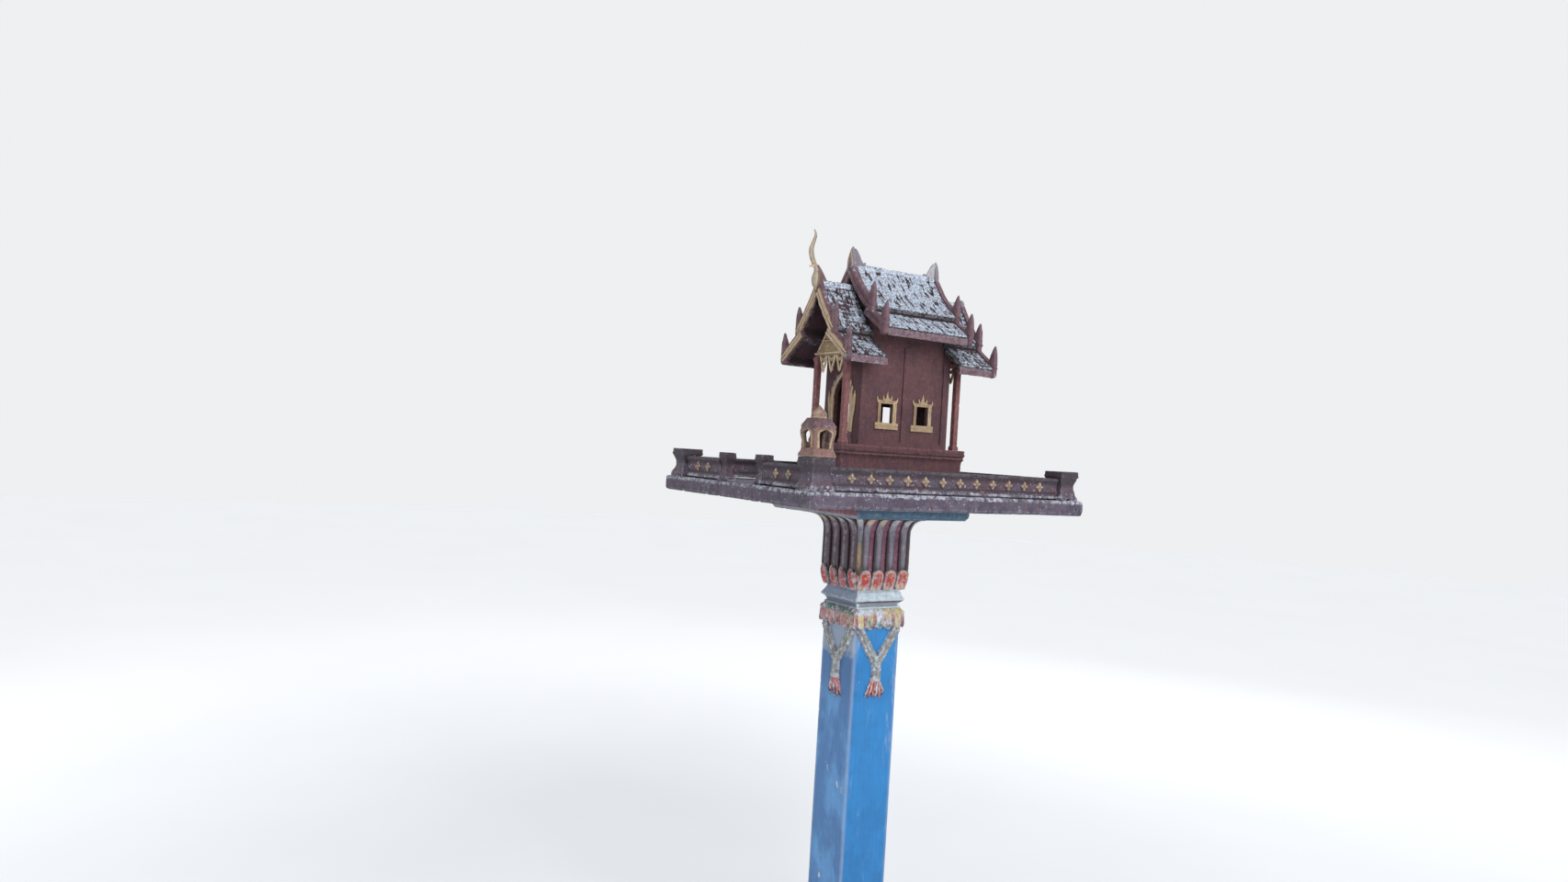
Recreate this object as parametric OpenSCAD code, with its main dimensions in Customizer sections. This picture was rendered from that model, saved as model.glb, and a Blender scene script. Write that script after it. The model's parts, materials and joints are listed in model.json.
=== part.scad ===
// Spirit house on a single square pillar, cast concrete, painted
// Front (porch and gate) faces -Y, +Z is up, the origin is the middle of the pillar's foot

/* [Pillar] */
// Height of the platform's top above the foot
deck_h = 1040; // [780:5:1300]
// Width of the square pillar shaft
shaft_w = 104; // [80:1:130]
// Bevel along the shaft's four edges
shaft_bevel = 3; // [1:0.5:6]
// Height of the abacus plate over the capital
abacus_h = 23; // [16:1:32]
// Width of the abacus plate, side to side
abacus_x = 284; // [220:1:340]
// Depth of the abacus plate, front to back
abacus_y = 264; // [220:1:340]
// Height of the lotus capital
capital_h = 139; // [110:1:170]
// Height of the capital's lower row of petals
petal_row_h = 42; // [30:1:60]
// Ribs on each face of the capital
capital_ribs = 4; // [3:1:6]
// Width of one capital rib
rib_w = 18; // [12:0.5:22]
// How far the ribs stand out over the shaft's face
rib_out = 9; // [6:0.5:14]
// How far the rib tops curl out beyond the ribs
rib_curl = 28; // [18:1:38]
// Height over which the rib tops bend outwards
rib_bend = 32; // [22:1:44]
// Height of the diamond-section neck ring
neck_h = 35; // [26:1:46]
// Height of the petal collar under the neck ring
collar_h = 39; // [30:1:50]
// Petals on each face of the collar
collar_petals = 5; // [4:1:7]

/* [Garlands] */
// Thickness of a garland string
string_d = 15; // [8:0.5:18]
// Drop of the garland from the collar to the middle of the V
string_drop = 66; // [45:1:90]
// Length of the stem between the V and the tassel
stem_h = 28; // [16:1:40]
// Length of the tassel's skirt
tassel_h = 41; // [28:1:56]
// Width of the tassel's skirt
tassel_w = 32; // [22:1:40]

/* [Platform] */
// Width of the platform, side to side
deck_x = 512; // [420:1:620]
// Depth of the platform, front to back
deck_y = 620; // [520:1:740]
// Thickness of the platform
deck_t = 28; // [20:1:40]
// Bare margin of the platform outside the balustrade
deck_margin = 7; // [4:0.5:14]

/* [Balustrade] */
// Height of the balustrade rail
rail_h = 40; // [30:1:54]
// Width of the rail's foot
rail_foot_w = 28; // [20:1:36]
// Width of the rail's waist
rail_waist_w = 17; // [12:1:24]
// Width of the rail's cap
rail_cap_w = 25; // [18:1:34]
// Height of the posts
post_h = 54; // [42:1:70]
// Width of the corner posts
post_w = 46; // [36:1:58]
// Width of the two gate posts
gate_post_w = 26; // [18:1:34]
// Clear width of the gate in the front
gate_w = 104; // [70:1:140]
// Rosettes along each side
side_rosettes = 12; // [8:1:14]
// Distance between rosettes
rosette_pitch = 39; // [30:0.5:44]
// Diameter over a rosette's petals
rosette_d = 17; // [12:0.5:20]
// Height of the pointed shield behind a rosette
shield_h = 20; // [14:1:22]

/* [Corner lantern] */
// Width of the lantern at its waist
lantern_w = 38; // [30:1:42]
// Height of the lantern's body
lantern_body_h = 48; // [38:1:58]
// Height of the lantern's roof with its dome
lantern_roof_h = 36; // [30:1:46]
// Diameter of the lantern's dome
lantern_dome_d = 26; // [18:0.5:27]

/* [House] */
// Offset of the house from the platform's middle, towards the back
house_back = 30; // [0:1:50]
// Width of the hall over its walls
hall_x = 110; // [90:1:140]
// Depth of the hall over its walls
hall_y = 212; // [180:1:250]
// Thickness of the walls
wall_t = 8; // [6:0.5:12]
// Height of the plinth under the house
plinth_h = 82; // [60:1:100]
// Ledge of the plinth outside the walls
plinth_ledge = 11; // [8:1:20]
// Distance from the hall to the middle of the porch columns
porch_reach = 28; // [20:1:40]
// Inset of the columns' middles from the hall's side faces
column_inset = 7; // [4:0.5:12]
// Width of a porch column
column_w = 11; // [8:0.5:15]
// Height of the carved pediments over their lintels
pediment_rise = 70; // [50:1:74]
// Clear width of the doorway
door_w = 54; // [40:1:64]
// Height of the doorway's straight sides
door_side_h = 88; // [70:1:110]
// Height of the doorway's pointed top
door_point_h = 40; // [25:1:50]
// Width of the doorway's gilded frame
door_frame_w = 9; // [6:0.5:13]
// Clear width of a window
window_w = 30; // [22:1:38]
// Clear height of a window
window_h = 36; // [26:1:50]
// Height of the window sill over the plinth
window_sill = 43; // [30:1:60]
// Distance from the hall's middle to the middle of a window
window_offset = 43; // [34:1:52]
// Width of a window's gilded frame
window_frame_w = 9; // [6:0.5:12]

/* [Roofs] */
// Height of the main ridge over the platform
main_ridge = 420; // [380:1:460]
// Overhang of the main roof's upper tier outside the hall's side faces
main_upper_over = 20; // [14:1:30]
// Height of the main roof's upper eave over the platform
main_upper_z = 338; // [315:1:350]
// Overhang of the main roof's lower tier outside the hall's side faces
main_lower_over = 61; // [45:1:75]
// Height of the main roof's lower eave over the platform
main_lower_z = 298; // [285:1:305]
// Overhang of the main bargeboards beyond the hall's ends
main_over = 2; // [-6:0.5:12]
// Height of the porch ridges over the platform
porch_ridge = 378; // [350:1:395]
// Overhang of the porch roofs' upper tier outside the hall's side faces
porch_upper_over = 7; // [5:0.5:12]
// Height of the porch roofs' upper eave over the platform
porch_upper_z = 292; // [280:1:298]
// Overhang of the porch roofs' lower tier outside the hall's side faces
porch_lower_over = 53; // [38:1:65]
// Height of the porch roofs' lower eave over the platform
porch_lower_z = 244; // [235:1:255]
// Overhang of the porch roofs in front of the columns' middles
porch_over = 47; // [36:1:58]
// Thickness of the roof shells, measured upright
roof_t = 9; // [7:0.5:12]
// Step between the two tiers of a roof
tier_step = 5; // [3:0.5:8]
// Depth of the eave boards under the lower tiers
eave_h = 17; // [10:1:24]
// Thickness of a bargeboard
barge_t = 12; // [8:0.5:14]
// Height of a bargeboard above the roof surface
barge_up = 8; // [5:0.5:10]
// Depth of a bargeboard below the roof surface
barge_down = 20; // [14:1:26]
// Height of the horns at the ends of the tiers
horn_h = 45; // [30:1:60]
// Width of a horn at its root
horn_w = 22; // [15:1:26]
// Height of the leaf finials on the ridges
leaf_h = 34; // [24:1:44]
// Length of a leaf finial's fin along the ridge
fin_reach = 25; // [14:1:34]
// Height of the gilded chofa over the porch ridge
chofa_h = 96; // [70:1:110]

/* [Hidden] */
$fn = 48;
abacus_z = deck_h - deck_t - abacus_h;
capital_z = abacus_z - capital_h;
neck_z = capital_z - neck_h;
collar_z = neck_z - collar_h;
collar_band = 9;
shaft_r = shaft_w / 2;
rib_r = shaft_r + rib_out;
rib_z = capital_z + petal_row_h;
corner_reach = 1.37;
rail_x = deck_x / 2 - deck_margin - post_w / 2;
rail_y = deck_y / 2 - deck_margin - post_w / 2;
gate_x = gate_w / 2 + gate_post_w / 2;
hall_r = hall_x / 2;
hall_front = house_back - hall_y / 2;
hall_rear = house_back + hall_y / 2;
floor_z = deck_h + plinth_h;
column_y = hall_y / 2 + porch_reach;
column_gap = hall_x - 2 * column_inset;
main_upper_x = hall_r + main_upper_over;
main_lower_x = hall_r + main_lower_over;
porch_upper_x = hall_r + porch_upper_over;
porch_lower_x = hall_r + porch_lower_over;
main_half_y = hall_y / 2 + main_over;
porch_half_y = column_y + porch_over;
main_gable_y = main_half_y - 22;
lintel_z = deck_h + porch_lower_z;
lintel_h = 8;

// Top line of the main roof's right half, from the ridge to the lower eave
main_top = [
  [0, main_ridge],
  [main_upper_x * 0.37, main_upper_z + (main_ridge - main_upper_z) * 0.53],
  [main_upper_x * 0.72, main_upper_z + (main_ridge - main_upper_z) * 0.2],
  [main_upper_x, main_upper_z]
];
main_low = [
  [main_upper_x - 6, main_upper_z - roof_t - tier_step + 4],
  [main_lower_x, main_lower_z]
];
// Top line of a porch roof's right half
porch_top = [
  [0, porch_ridge],
  [porch_upper_x * 0.36, porch_upper_z + (porch_ridge - porch_upper_z) * 0.58],
  [porch_upper_x * 0.7, porch_upper_z + (porch_ridge - porch_upper_z) * 0.25],
  [porch_upper_x, porch_upper_z]
];
porch_low = [
  [porch_upper_x - 6, porch_upper_z - roof_t - tier_step + 4],
  [porch_lower_x, porch_lower_z]
];

// Colours as the photo shows them
c_blue = [0.2, 0.48, 0.74];
c_pale = [0.74, 0.74, 0.72];
c_maroon = [0.36, 0.17, 0.15];
c_deck = [0.27, 0.16, 0.14];
c_red = [0.5, 0.2, 0.17];
c_gold = [0.72, 0.56, 0.28];
c_tile = [0.58, 0.58, 0.6];
c_clay = [0.5, 0.3, 0.25];
c_petal = [0.7, 0.3, 0.25];
c_garland = [0.5, 0.52, 0.46];

// A list of points mirrored across x = 0, so that an outline closes on itself
function both_sides(points) = concat(
  points,
  [for (i = [len(points) - 1:-1:0]) [-points[i][0], points[i][1]]]
);

// Height on a line of points at the given distance from the middle
function at_x(line, x, i = 0) =
  x <= line[i + 1][0] || i + 2 >= len(line)
    ? line[i][1] + (line[i + 1][1] - line[i][1]) * (x - line[i][0])
      / (line[i + 1][0] - line[i][0])
    : at_x(line, x, i + 1);

// The part of a line of points between the middle and x, lowered by the given amount
function under(line, x, drop) = concat(
  [[x, at_x(line, x) - drop]],
  [for (i = [len(line) - 1:-1:0]) if (line[i][0] < x) [line[i][0], line[i][1] - drop]]
);

// Points of a quarter cove from one corner to another
function cove(x0, z0, x1, z1, n = 5) =
  [for (i = [0:n]) [x1 + (x0 - x1) * (1 - sin(90 * i / n)), z0 + (z1 - z0) * (1 - cos(90 * i / n))]];

// Stands an outline drawn in x and z upright, with its thickness along Y
module upright(thick) {
  rotate([90, 0, 0]) linear_extrude(height = thick, center = true) children();
}

// Puts a shape on each of the four faces of the pillar
module each_face() {
  for (turn = [0, 90, 180, 270]) rotate([0, 0, turn]) children();
}

// Rectangular block whose four sides follow one moulding, given as [half width change, height]
module moulded(half_x, half_y, moulding) {
  intersection() {
    upright(2 * half_y + 80) polygon(both_sides([for (p = moulding) [half_x + p[0], p[1]]]));
    rotate([0, 0, 90]) upright(2 * half_x + 80)
      polygon(both_sides([for (p = moulding) [half_y + p[0], p[1]]]));
  }
}

module shaft_outline() {
  a = shaft_r;
  b = shaft_r - shaft_bevel;
  polygon([[-a, -b], [-b, -a], [b, -a], [a, -b], [a, b], [b, a], [-b, a], [-a, b]]);
}

module pillar_shaft() {
  color(c_blue) linear_extrude(height = neck_z) shaft_outline();
}

// One garland on the -Y face: two studded strings from the corners, a stem and a tassel
module garland() {
  top_z = collar_z + 3;
  low_z = top_z - string_drop;
  span = shaft_r - string_d / 2;
  slope = atan2(string_drop, span);
  reach = sqrt(span * span + string_drop * string_drop);
  studs = 7;
  out = string_d * 0.62;
  color(c_garland) difference() {
    union() {
      for (side = [-1, 1]) {
        translate([0, -shaft_r, low_z]) rotate([0, side * (90 - slope), 0])
          cylinder(d = string_d, h = reach);
        for (i = [0:studs])
          translate([side * span * i / studs, -shaft_r - out / 2, low_z + string_drop * i / studs])
            sphere(d = string_d * 0.8);
      }
      translate([0, -shaft_r, low_z - stem_h]) cylinder(d = string_d + 3, h = stem_h + 4);
      translate([0, -shaft_r, low_z - stem_h]) cylinder(d = string_d + 7, h = 5);
      translate([0, -shaft_r, low_z - stem_h - tassel_h])
        cylinder(d1 = tassel_w, d2 = string_d + 5, h = tassel_h + 1);
    }
    translate([-shaft_w, -shaft_r, 0]) cube([2 * shaft_w, shaft_w, deck_h]);
    translate([-shaft_w, -shaft_r - 12 - shaft_w, 0]) cube([2 * shaft_w, shaft_w, deck_h]);
    translate([-shaft_w, -shaft_w, collar_z - 1.5]) cube([2 * shaft_w, shaft_w, shaft_w]);
    for (flip = [0, 1]) mirror([flip, 0, 0])
      translate([shaft_r - 1, -shaft_w, 0]) cube([shaft_w, shaft_w, deck_h]);
  }
}

module garland_front() { garland(); }
module garland_right() { rotate([0, 0, 90]) garland(); }
module garland_back() { rotate([0, 0, 180]) garland(); }
module garland_left() { rotate([0, 0, 270]) garland(); }

// Ragged ring of hanging petals that flares over the top of the shaft
module petal_collar() {
  leaf_t = 7;
  flare = 6;
  petal_w = (shaft_w + 6) / collar_petals;
  drop = collar_h - collar_band;
  color(c_petal) {
    difference() {
      translate([0, 0, collar_z + drop]) linear_extrude(height = collar_band)
        square(shaft_w + 2 * leaf_t, center = true);
      translate([0, 0, collar_z]) linear_extrude(height = collar_h + 1) shaft_outline();
    }
    each_face() {
      translate([0, -shaft_r, collar_z + drop + 1]) rotate([-flare, 0, 0])
        translate([0, -leaf_t / 2, 0]) upright(leaf_t)
          for (i = [0:collar_petals - 1])
            translate([(i - (collar_petals - 1) / 2) * petal_w, 0])
              polygon([
                [-petal_w / 2, 0], [-petal_w / 2, -drop * 0.45], [-petal_w * 0.36, -drop * 0.72],
                [0, -drop - 1], [petal_w * 0.36, -drop * 0.72], [petal_w / 2, -drop * 0.45],
                [petal_w / 2, 0]
              ]);
      rotate([0, 0, 45]) translate([0, -(shaft_r - 1) * sqrt(2), collar_z + drop + 1])
        rotate([-flare, 0, 0]) translate([0, -leaf_t / 2, 0]) upright(leaf_t)
          polygon([[-8, 0], [-8, -drop * 0.5], [0, -drop - 2], [8, -drop * 0.5], [8, 0]]);
    }
  }
}

// Square ring with a diamond section between collar and capital
module neck_ring() {
  waist = -2;
  tip = 6.5;
  color(c_pale) moulded(shaft_r, shaft_r, [
    [1, neck_z], [1, neck_z + 2.5], [waist, neck_z + 4], [waist, neck_z + neck_h * 0.24],
    [1, neck_z + neck_h * 0.34], [tip - 1.2, neck_z + neck_h * 0.42], [tip, neck_z + neck_h * 0.46],
    [tip - 1.2, neck_z + neck_h * 0.52], [1, neck_z + neck_h * 0.72],
    [waist, neck_z + neck_h - 4], [waist + 1, neck_z + neck_h]
  ]);
}

// Side view of one rib of the capital, from the core out to its curled top
module rib_side(core) {
  top = abacus_z;
  curl = [for (i = [0:6]) [
    rib_r + rib_curl * (1 - cos(15 * i)),
    top - rib_bend + (rib_bend - 6) * sin(15 * i)
  ]];
  polygon(concat(
    [[core, rib_z - 2], [rib_r - 2, rib_z - 2], [rib_r, rib_z + 3]],
    curl,
    [[rib_r + rib_curl - 1, top - 1.5], [rib_r + rib_curl - 4, top], [core, top]]
  ));
}

// Side view of a petal of the lower row, its outside leaning out towards the tip
module petal_side(core, k = 1) {
  polygon([
    [core - 6, capital_z], [k * (core + 2), capital_z], [k * (core + 5), capital_z + petal_row_h * 0.3],
    [k * (core + 10), capital_z + petal_row_h * 0.7], [k * (core + 14), capital_z + petal_row_h * 0.97],
    [k * (core + 12), capital_z + petal_row_h], [core - 6, capital_z + petal_row_h]
  ]);
}

// Pointed petal of the capital's lower row, in front view
module petal_front(w, h) {
  polygon([
    [-w / 2, 0], [-w / 2, h * 0.55], [-w * 0.4, h * 0.75], [-w * 0.2, h * 0.92],
    [0, h], [w * 0.2, h * 0.92], [w * 0.4, h * 0.75], [w / 2, h * 0.55], [w / 2, 0]
  ]);
}

// Lotus capital: a core, a row of short petals and a row of tall ribs that curl out
module lotus_capital() {
  core = shaft_r - 2;
  pitch = 2 * rib_r / capital_ribs - 1;
  throat = [
    [0, capital_z], [0, rib_z], [2, abacus_z - 38], [4, abacus_z - 26],
    [9, abacus_z - 14], [14, abacus_z - 5], [16, abacus_z]
  ];
  color(c_maroon) {
    moulded(core, core, throat);
    each_face() {
      for (i = [0:capital_ribs - 1])
        translate([(i - (capital_ribs - 1) / 2) * pitch, 0, 0])
          rotate([0, 0, -90]) upright(rib_w) rib_side(core - 6);
      rotate([0, 0, -45]) upright(rib_w) corner_rib_side(core - 8);
      for (i = [0:capital_ribs - 1])
        intersection() {
          translate([(i - (capital_ribs - 1) / 2) * pitch, 0, capital_z])
            upright(4 * rib_r) petal_front(pitch - 4, petal_row_h);
          rotate([0, 0, -90]) upright(4 * rib_r) petal_side(core);
        }
      intersection() {
        rotate([0, 0, 45]) translate([0, 0, capital_z])
          upright(6 * rib_r) petal_front(rib_w + 3, petal_row_h);
        rotate([0, 0, -45]) upright(4 * rib_r) petal_side(core, corner_reach);
      }
    }
  }
}

// Side view of a corner rib, reaching out to the corner of the square
module corner_rib_side(core) {
  k = corner_reach;
  top = abacus_z;
  polygon(concat(
    [[core, rib_z - 2], [rib_r * k - 2, rib_z - 2], [rib_r * k, rib_z + 3]],
    [for (i = [0:6]) [
      rib_r * k + rib_curl * (1 - cos(15 * i)),
      top - rib_bend + (rib_bend - 6) * sin(15 * i)
    ]],
    [[rib_r * k + rib_curl - 1, top - 1.5], [rib_r * k + rib_curl - 4, top], [core, top]]
  ));
}

module abacus_plate() {
  color(c_maroon) moulded(abacus_x / 2, abacus_y / 2, [
    [-5, abacus_z], [-2, abacus_z + 5], [-1, abacus_z + 6], [0, abacus_z + 9], [0, abacus_z + abacus_h]
  ]);
}

module platform_slab() {
  z0 = deck_h - deck_t;
  color(c_deck) moulded(deck_x / 2, deck_y / 2, [
    [-3, z0], [0, z0 + 4], [0, deck_h - 3], [-2, deck_h]
  ]);
}

// Cross-section of the balustrade rail: flared foot, flat waist, flared cap
function rail_side() = concat(
  [[rail_foot_w / 2, 0], [rail_foot_w / 2, 5]],
  cove(rail_foot_w / 2 - 1, 6, rail_waist_w / 2, 12, 4),
  [for (i = [0:4]) [
    rail_waist_w / 2 + (rail_cap_w - rail_waist_w) / 2 * (1 - cos(22.5 * i)),
    rail_h - 10 + 5 * sin(22.5 * i)
  ]],
  [[rail_cap_w / 2, rail_h]]
);

// Post moulding: flared foot, concave waist, flat flared cap
function post_side(h) = concat(
  [[1, 0], [1, 6]],
  [for (i = [0:6]) [-5.5 * sin(180 * i / 6), 8 + (h - 20) * i / 6]],
  [[1, h - 9], [0, h - 6], [0, h]]
);

module post(w, h) {
  translate([0, 0, deck_h]) moulded(w / 2 - 1, w / 2 - 1, post_side(h));
}

// Rail along X between two points, cut to the posts it meets
module rail(length) {
  translate([0, 0, deck_h]) rotate([0, 0, 90]) upright(length) polygon(both_sides(rail_side()));
}

module all_posts() {
  for (x = [-rail_x, rail_x], y = [-rail_y, rail_y]) translate([x, y, 0]) post(post_w, post_h);
}

module gate_posts() {
  for (x = [-gate_x, gate_x]) translate([x, -rail_y, 0]) post(gate_post_w, post_h - 2);
}

module front_rail(side) {
  color(c_maroon) difference() {
    translate([side * (rail_x + gate_x) / 2, -rail_y, 0]) rail(rail_x - gate_x);
    all_posts();
    gate_posts();
  }
}

module side_rail(side) {
  color(c_maroon) difference() {
    translate([side * rail_x, 0, 0]) rotate([0, 0, 90]) rail(2 * rail_y);
    all_posts();
  }
}

module rail_front_left() { front_rail(-1); }
module rail_front_right() { front_rail(1); }
module rail_left() { side_rail(-1); }
module rail_right() { side_rail(1); }

module rail_back() {
  color(c_maroon) difference() {
    translate([0, rail_y, 0]) rail(2 * rail_x);
    all_posts();
  }
}

module corner_post_front_left() { color(c_maroon) translate([-rail_x, -rail_y, 0]) post(post_w, post_h); }
module corner_post_front_right() { color(c_maroon) translate([rail_x, -rail_y, 0]) post(post_w, post_h); }
module corner_post_back_left() { color(c_maroon) translate([-rail_x, rail_y, 0]) post(post_w, post_h); }
module corner_post_back_right() { color(c_maroon) translate([rail_x, rail_y, 0]) post(post_w, post_h); }
module gate_post_left() { color(c_maroon) translate([-gate_x, -rail_y, 0]) post(gate_post_w, post_h - 2); }
module gate_post_right() { color(c_maroon) translate([gate_x, -rail_y, 0]) post(gate_post_w, post_h - 2); }

// Four-petal flower on a pointed shield, facing -Y, its back at y = 0
module rosette() {
  rotate([90, 0, 0]) {
    linear_extrude(height = 1.6)
      polygon([
        [0, -shield_h * 0.48], [rosette_d / 2 + 1, 0], [0, shield_h * 0.46], [-rosette_d / 2 - 1, 0]
      ]);
    for (turn = [45:90:315]) rotate([0, 0, turn])
      translate([rosette_d / 4, 0, 0]) cylinder(d = rosette_d / 2, h = 3.4);
    cylinder(d = 4.5, h = 4.4);
  }
}

module rosette_row(count, pitch) {
  for (i = [0:count - 1])
    translate([(i - (count - 1) / 2) * pitch, -rail_waist_w / 2, deck_h + 22.5]) rosette();
}

module rosettes() {
  front_mid = (rail_x - post_w / 2 + gate_x + gate_post_w / 2) / 2;
  back_count = floor((2 * rail_x - post_w) / rosette_pitch);
  color(c_gold) {
    for (side = [-1, 1]) {
      translate([side * front_mid, -rail_y, 0]) rosette_row(2, rosette_pitch);
      translate([side * rail_x, 0, 0]) rotate([0, 0, side * 90])
        rosette_row(side_rosettes, rosette_pitch);
    }
    translate([0, rail_y, 0]) rotate([0, 0, 180]) rosette_row(back_count, rosette_pitch);
  }
}

// Small pavilion on the front right corner post: a spreading foot, swelling shoulders and
// a keyhole arch through each pair of sides
module lantern_body() {
  z0 = deck_h + post_h;
  h = lantern_body_h;
  arch_w = lantern_w * 0.58;
  arch_h = h * 0.6;
  color(c_clay) translate([rail_x, -rail_y, 0]) difference() {
    moulded(lantern_w / 2, lantern_w / 2, [
      [4, z0], [4, z0 + 3], [2.6, z0 + h * 0.16], [1, z0 + h * 0.25], [0, z0 + h * 0.32],
      [0, z0 + h * 0.44], [0.6, z0 + h * 0.58], [1.6, z0 + h * 0.7], [2.4, z0 + h * 0.8],
      [2.7, z0 + h * 0.9], [2.2, z0 + h]
    ]);
    for (turn = [0, 90]) rotate([0, 0, turn]) translate([0, 0, z0 + h * 0.3]) upright(2 * lantern_w)
      polygon(both_sides([
        [arch_w * 0.4, 0], [arch_w * 0.43, arch_h * 0.35], [arch_w / 2, arch_h * 0.62],
        [arch_w / 2, arch_h * 0.78], [arch_w * 0.36, arch_h * 0.93], [0, arch_h]
      ]));
  }
}

// Sloping roof with a round dome that ends in a blunt point
module lantern_roof() {
  z0 = deck_h + post_h + lantern_body_h;
  h = lantern_roof_h;
  d = lantern_dome_d;
  foot = z0 + h * 0.4;
  color(c_clay) translate([rail_x, -rail_y, 0]) {
    moulded(lantern_w / 2, lantern_w / 2, [
      [2.2, z0], [2.8, z0 + 1.2], [2, z0 + h * 0.08], [-0.8, z0 + h * 0.2], [-3, z0 + h * 0.3],
      [-4.2, z0 + h * 0.37], [-4.2, z0 + h * 0.41]
    ]);
    translate([0, 0, foot]) cylinder(d = d + 2, h = 3);
    translate([0, 0, foot + 2.9]) cylinder(d1 = d, d2 = d * 0.92, h = h * 0.16);
    translate([0, 0, foot + 2.9 + h * 0.16]) cylinder(d1 = d * 0.92, d2 = d * 0.62, h = h * 0.17);
    translate([0, 0, foot + 2.9 + h * 0.33]) cylinder(d1 = d * 0.62, d2 = d * 0.2, h = h * 0.12);
    translate([0, 0, foot + 2.9 + h * 0.45]) cylinder(d1 = d * 0.2, d2 = d * 0.08, h = h * 0.15 - 2.9);
  }
}

// Plinth with a moulded foot, a waist and a lip that the walls and columns stand on
module house_plinth() {
  z0 = deck_h;
  half_x = hall_r + plinth_ledge;
  half_y = column_y + column_w / 2 + plinth_ledge;
  color(c_red) translate([0, house_back, 0]) moulded(half_x, half_y, concat(
    [[12, z0], [12, z0 + 12], [9, z0 + 14]],
    cove(8, z0 + 16, -5, z0 + 30, 4),
    [[-5, z0 + plinth_h - 34]],
    [for (i = [0:4]) [
      -5 + 5 * (1 - cos(22.5 * i)),
      z0 + plinth_h - 30 + 12 * sin(22.5 * i)
    ]],
    [[-2, z0 + plinth_h - 15], [-2, z0 + plinth_h - 13], [0, z0 + plinth_h - 12], [0, z0 + plinth_h]]
  ));
}

// Two slender columns with a small foot and a spreading top, in front of the hall
module column_pair() {
  h = lintel_z - floor_z;
  color(c_red) for (x = [-column_gap / 2, column_gap / 2])
    translate([x, -column_y, floor_z]) moulded(column_w / 2, column_w / 2, [
      [2, 0], [2, 6], [0, 9], [0, h - 10], [2, h - 5], [2, h]
    ]);
}

module porch_columns() { translate([0, house_back, 0]) column_pair(); }
module rear_columns() { translate([0, house_back, 0]) mirror([0, 1, 0]) column_pair(); }

// Doorway outline with a pointed top, standing on z = 0
module door_outline(grow = 0) {
  w = door_w / 2 + grow;
  s = door_side_h;
  p = door_point_h + grow * 1.3;
  polygon(both_sides([
    [w, 0], [w, s], [w * 0.9, s + p * 0.28], [w * 0.68, s + p * 0.56], [w * 0.36, s + p * 0.8], [0, s + p]
  ]));
}

// End wall of the hall, carried up under the porch roof as its gable
module end_wall() {
  inner = hall_r - wall_t;
  upright(wall_t)
    polygon(both_sides(concat([[inner, floor_z]], under(porch_top, inner, roof_t - deck_h))));
}

module wall_front() {
  color(c_red) difference() {
    translate([0, hall_front + wall_t / 2, 0]) end_wall();
    translate([0, hall_front, floor_z - 1]) upright(4 * wall_t) door_outline();
  }
}

module wall_back() {
  color(c_red) translate([0, hall_rear - wall_t / 2, 0]) end_wall();
}

// Window opening outline, standing on z = 0
module window_outline(grow = 0) {
  w = window_w / 2 + grow;
  polygon(both_sides([[w, -grow], [w, window_h + grow]]));
}

// Long wall with two windows and pilasters; its top steps up under the main roof
module side_wall() {
  low = deck_h + at_x(porch_top, hall_r) - roof_t;
  pilaster_top = deck_h + at_x(porch_low, hall_r + 3) - roof_t - 1;
  high = deck_h + at_x(main_top, hall_r) - roof_t;
  step_y = main_gable_y;
  half = hall_y / 2;
  pilaster_w = 15;
  color(c_red) difference() {
    union() {
      rotate([0, 0, 90]) upright(wall_t) polygon(both_sides([
        [half, floor_z], [half, low], [step_y, low], [step_y, high]
      ]));
      for (y = [-half + pilaster_w / 2, 0, half - pilaster_w / 2])
        translate([wall_t / 2 - 1, y - pilaster_w / 2, floor_z])
          cube([4, pilaster_w, pilaster_top - floor_z]);
      translate([wall_t / 2 - 1, -half, floor_z]) cube([4.5, hall_y, 9]);
    }
    for (y = [-window_offset, window_offset])
      translate([0, y, floor_z + window_sill]) rotate([0, 0, 90])
        upright(4 * wall_t) window_outline();
  }
}

module wall_right() { translate([hall_r - wall_t / 2, house_back, 0]) side_wall(); }
module wall_left() {
  translate([0, 2 * house_back, 0]) rotate([0, 0, 180])
    translate([hall_r - wall_t / 2, house_back, 0]) side_wall();
}

// Gilded pointed frame with a flame at each shoulder, on the face of an end wall
module door_trim() {
  s = door_side_h;
  w = door_w / 2 + door_frame_w;
  p = door_point_h + door_frame_w * 1.3;
  translate([0, 0, floor_z]) upright(4) difference() {
    polygon(both_sides([
      [w, 0], [w, s - 10], [w + 3, s + 12], [w - 1.5, s + 5], [w * 0.9, s + p * 0.28],
      [w * 0.68, s + p * 0.56], [w * 0.36, s + p * 0.8], [5, s + p - 4], [0, s + p + 8]
    ]));
    translate([0, -1]) door_outline();
  }
}

module door_frame() { color(c_gold) translate([0, hall_front - 2, 0]) door_trim(); }
module rear_niche_frame() { color(c_gold) translate([0, hall_rear + 2, 0]) door_trim(); }

// Gilded window surround with a sill and a pointed head
module window_trim() {
  w = window_w / 2;
  f = window_frame_w;
  upright(4) difference() {
    polygon(both_sides([
      [w + f + 3, -f - 3], [w + f + 3, -f + 1], [w + f - 2, -f + 3], [w + f - 2, window_h + 2],
      [w + f + 2, window_h + 6], [w + f - 4, window_h + f], [w * 0.5, window_h + f + 4],
      [0, window_h + f + 14]
    ]));
    window_outline();
  }
}

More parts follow.
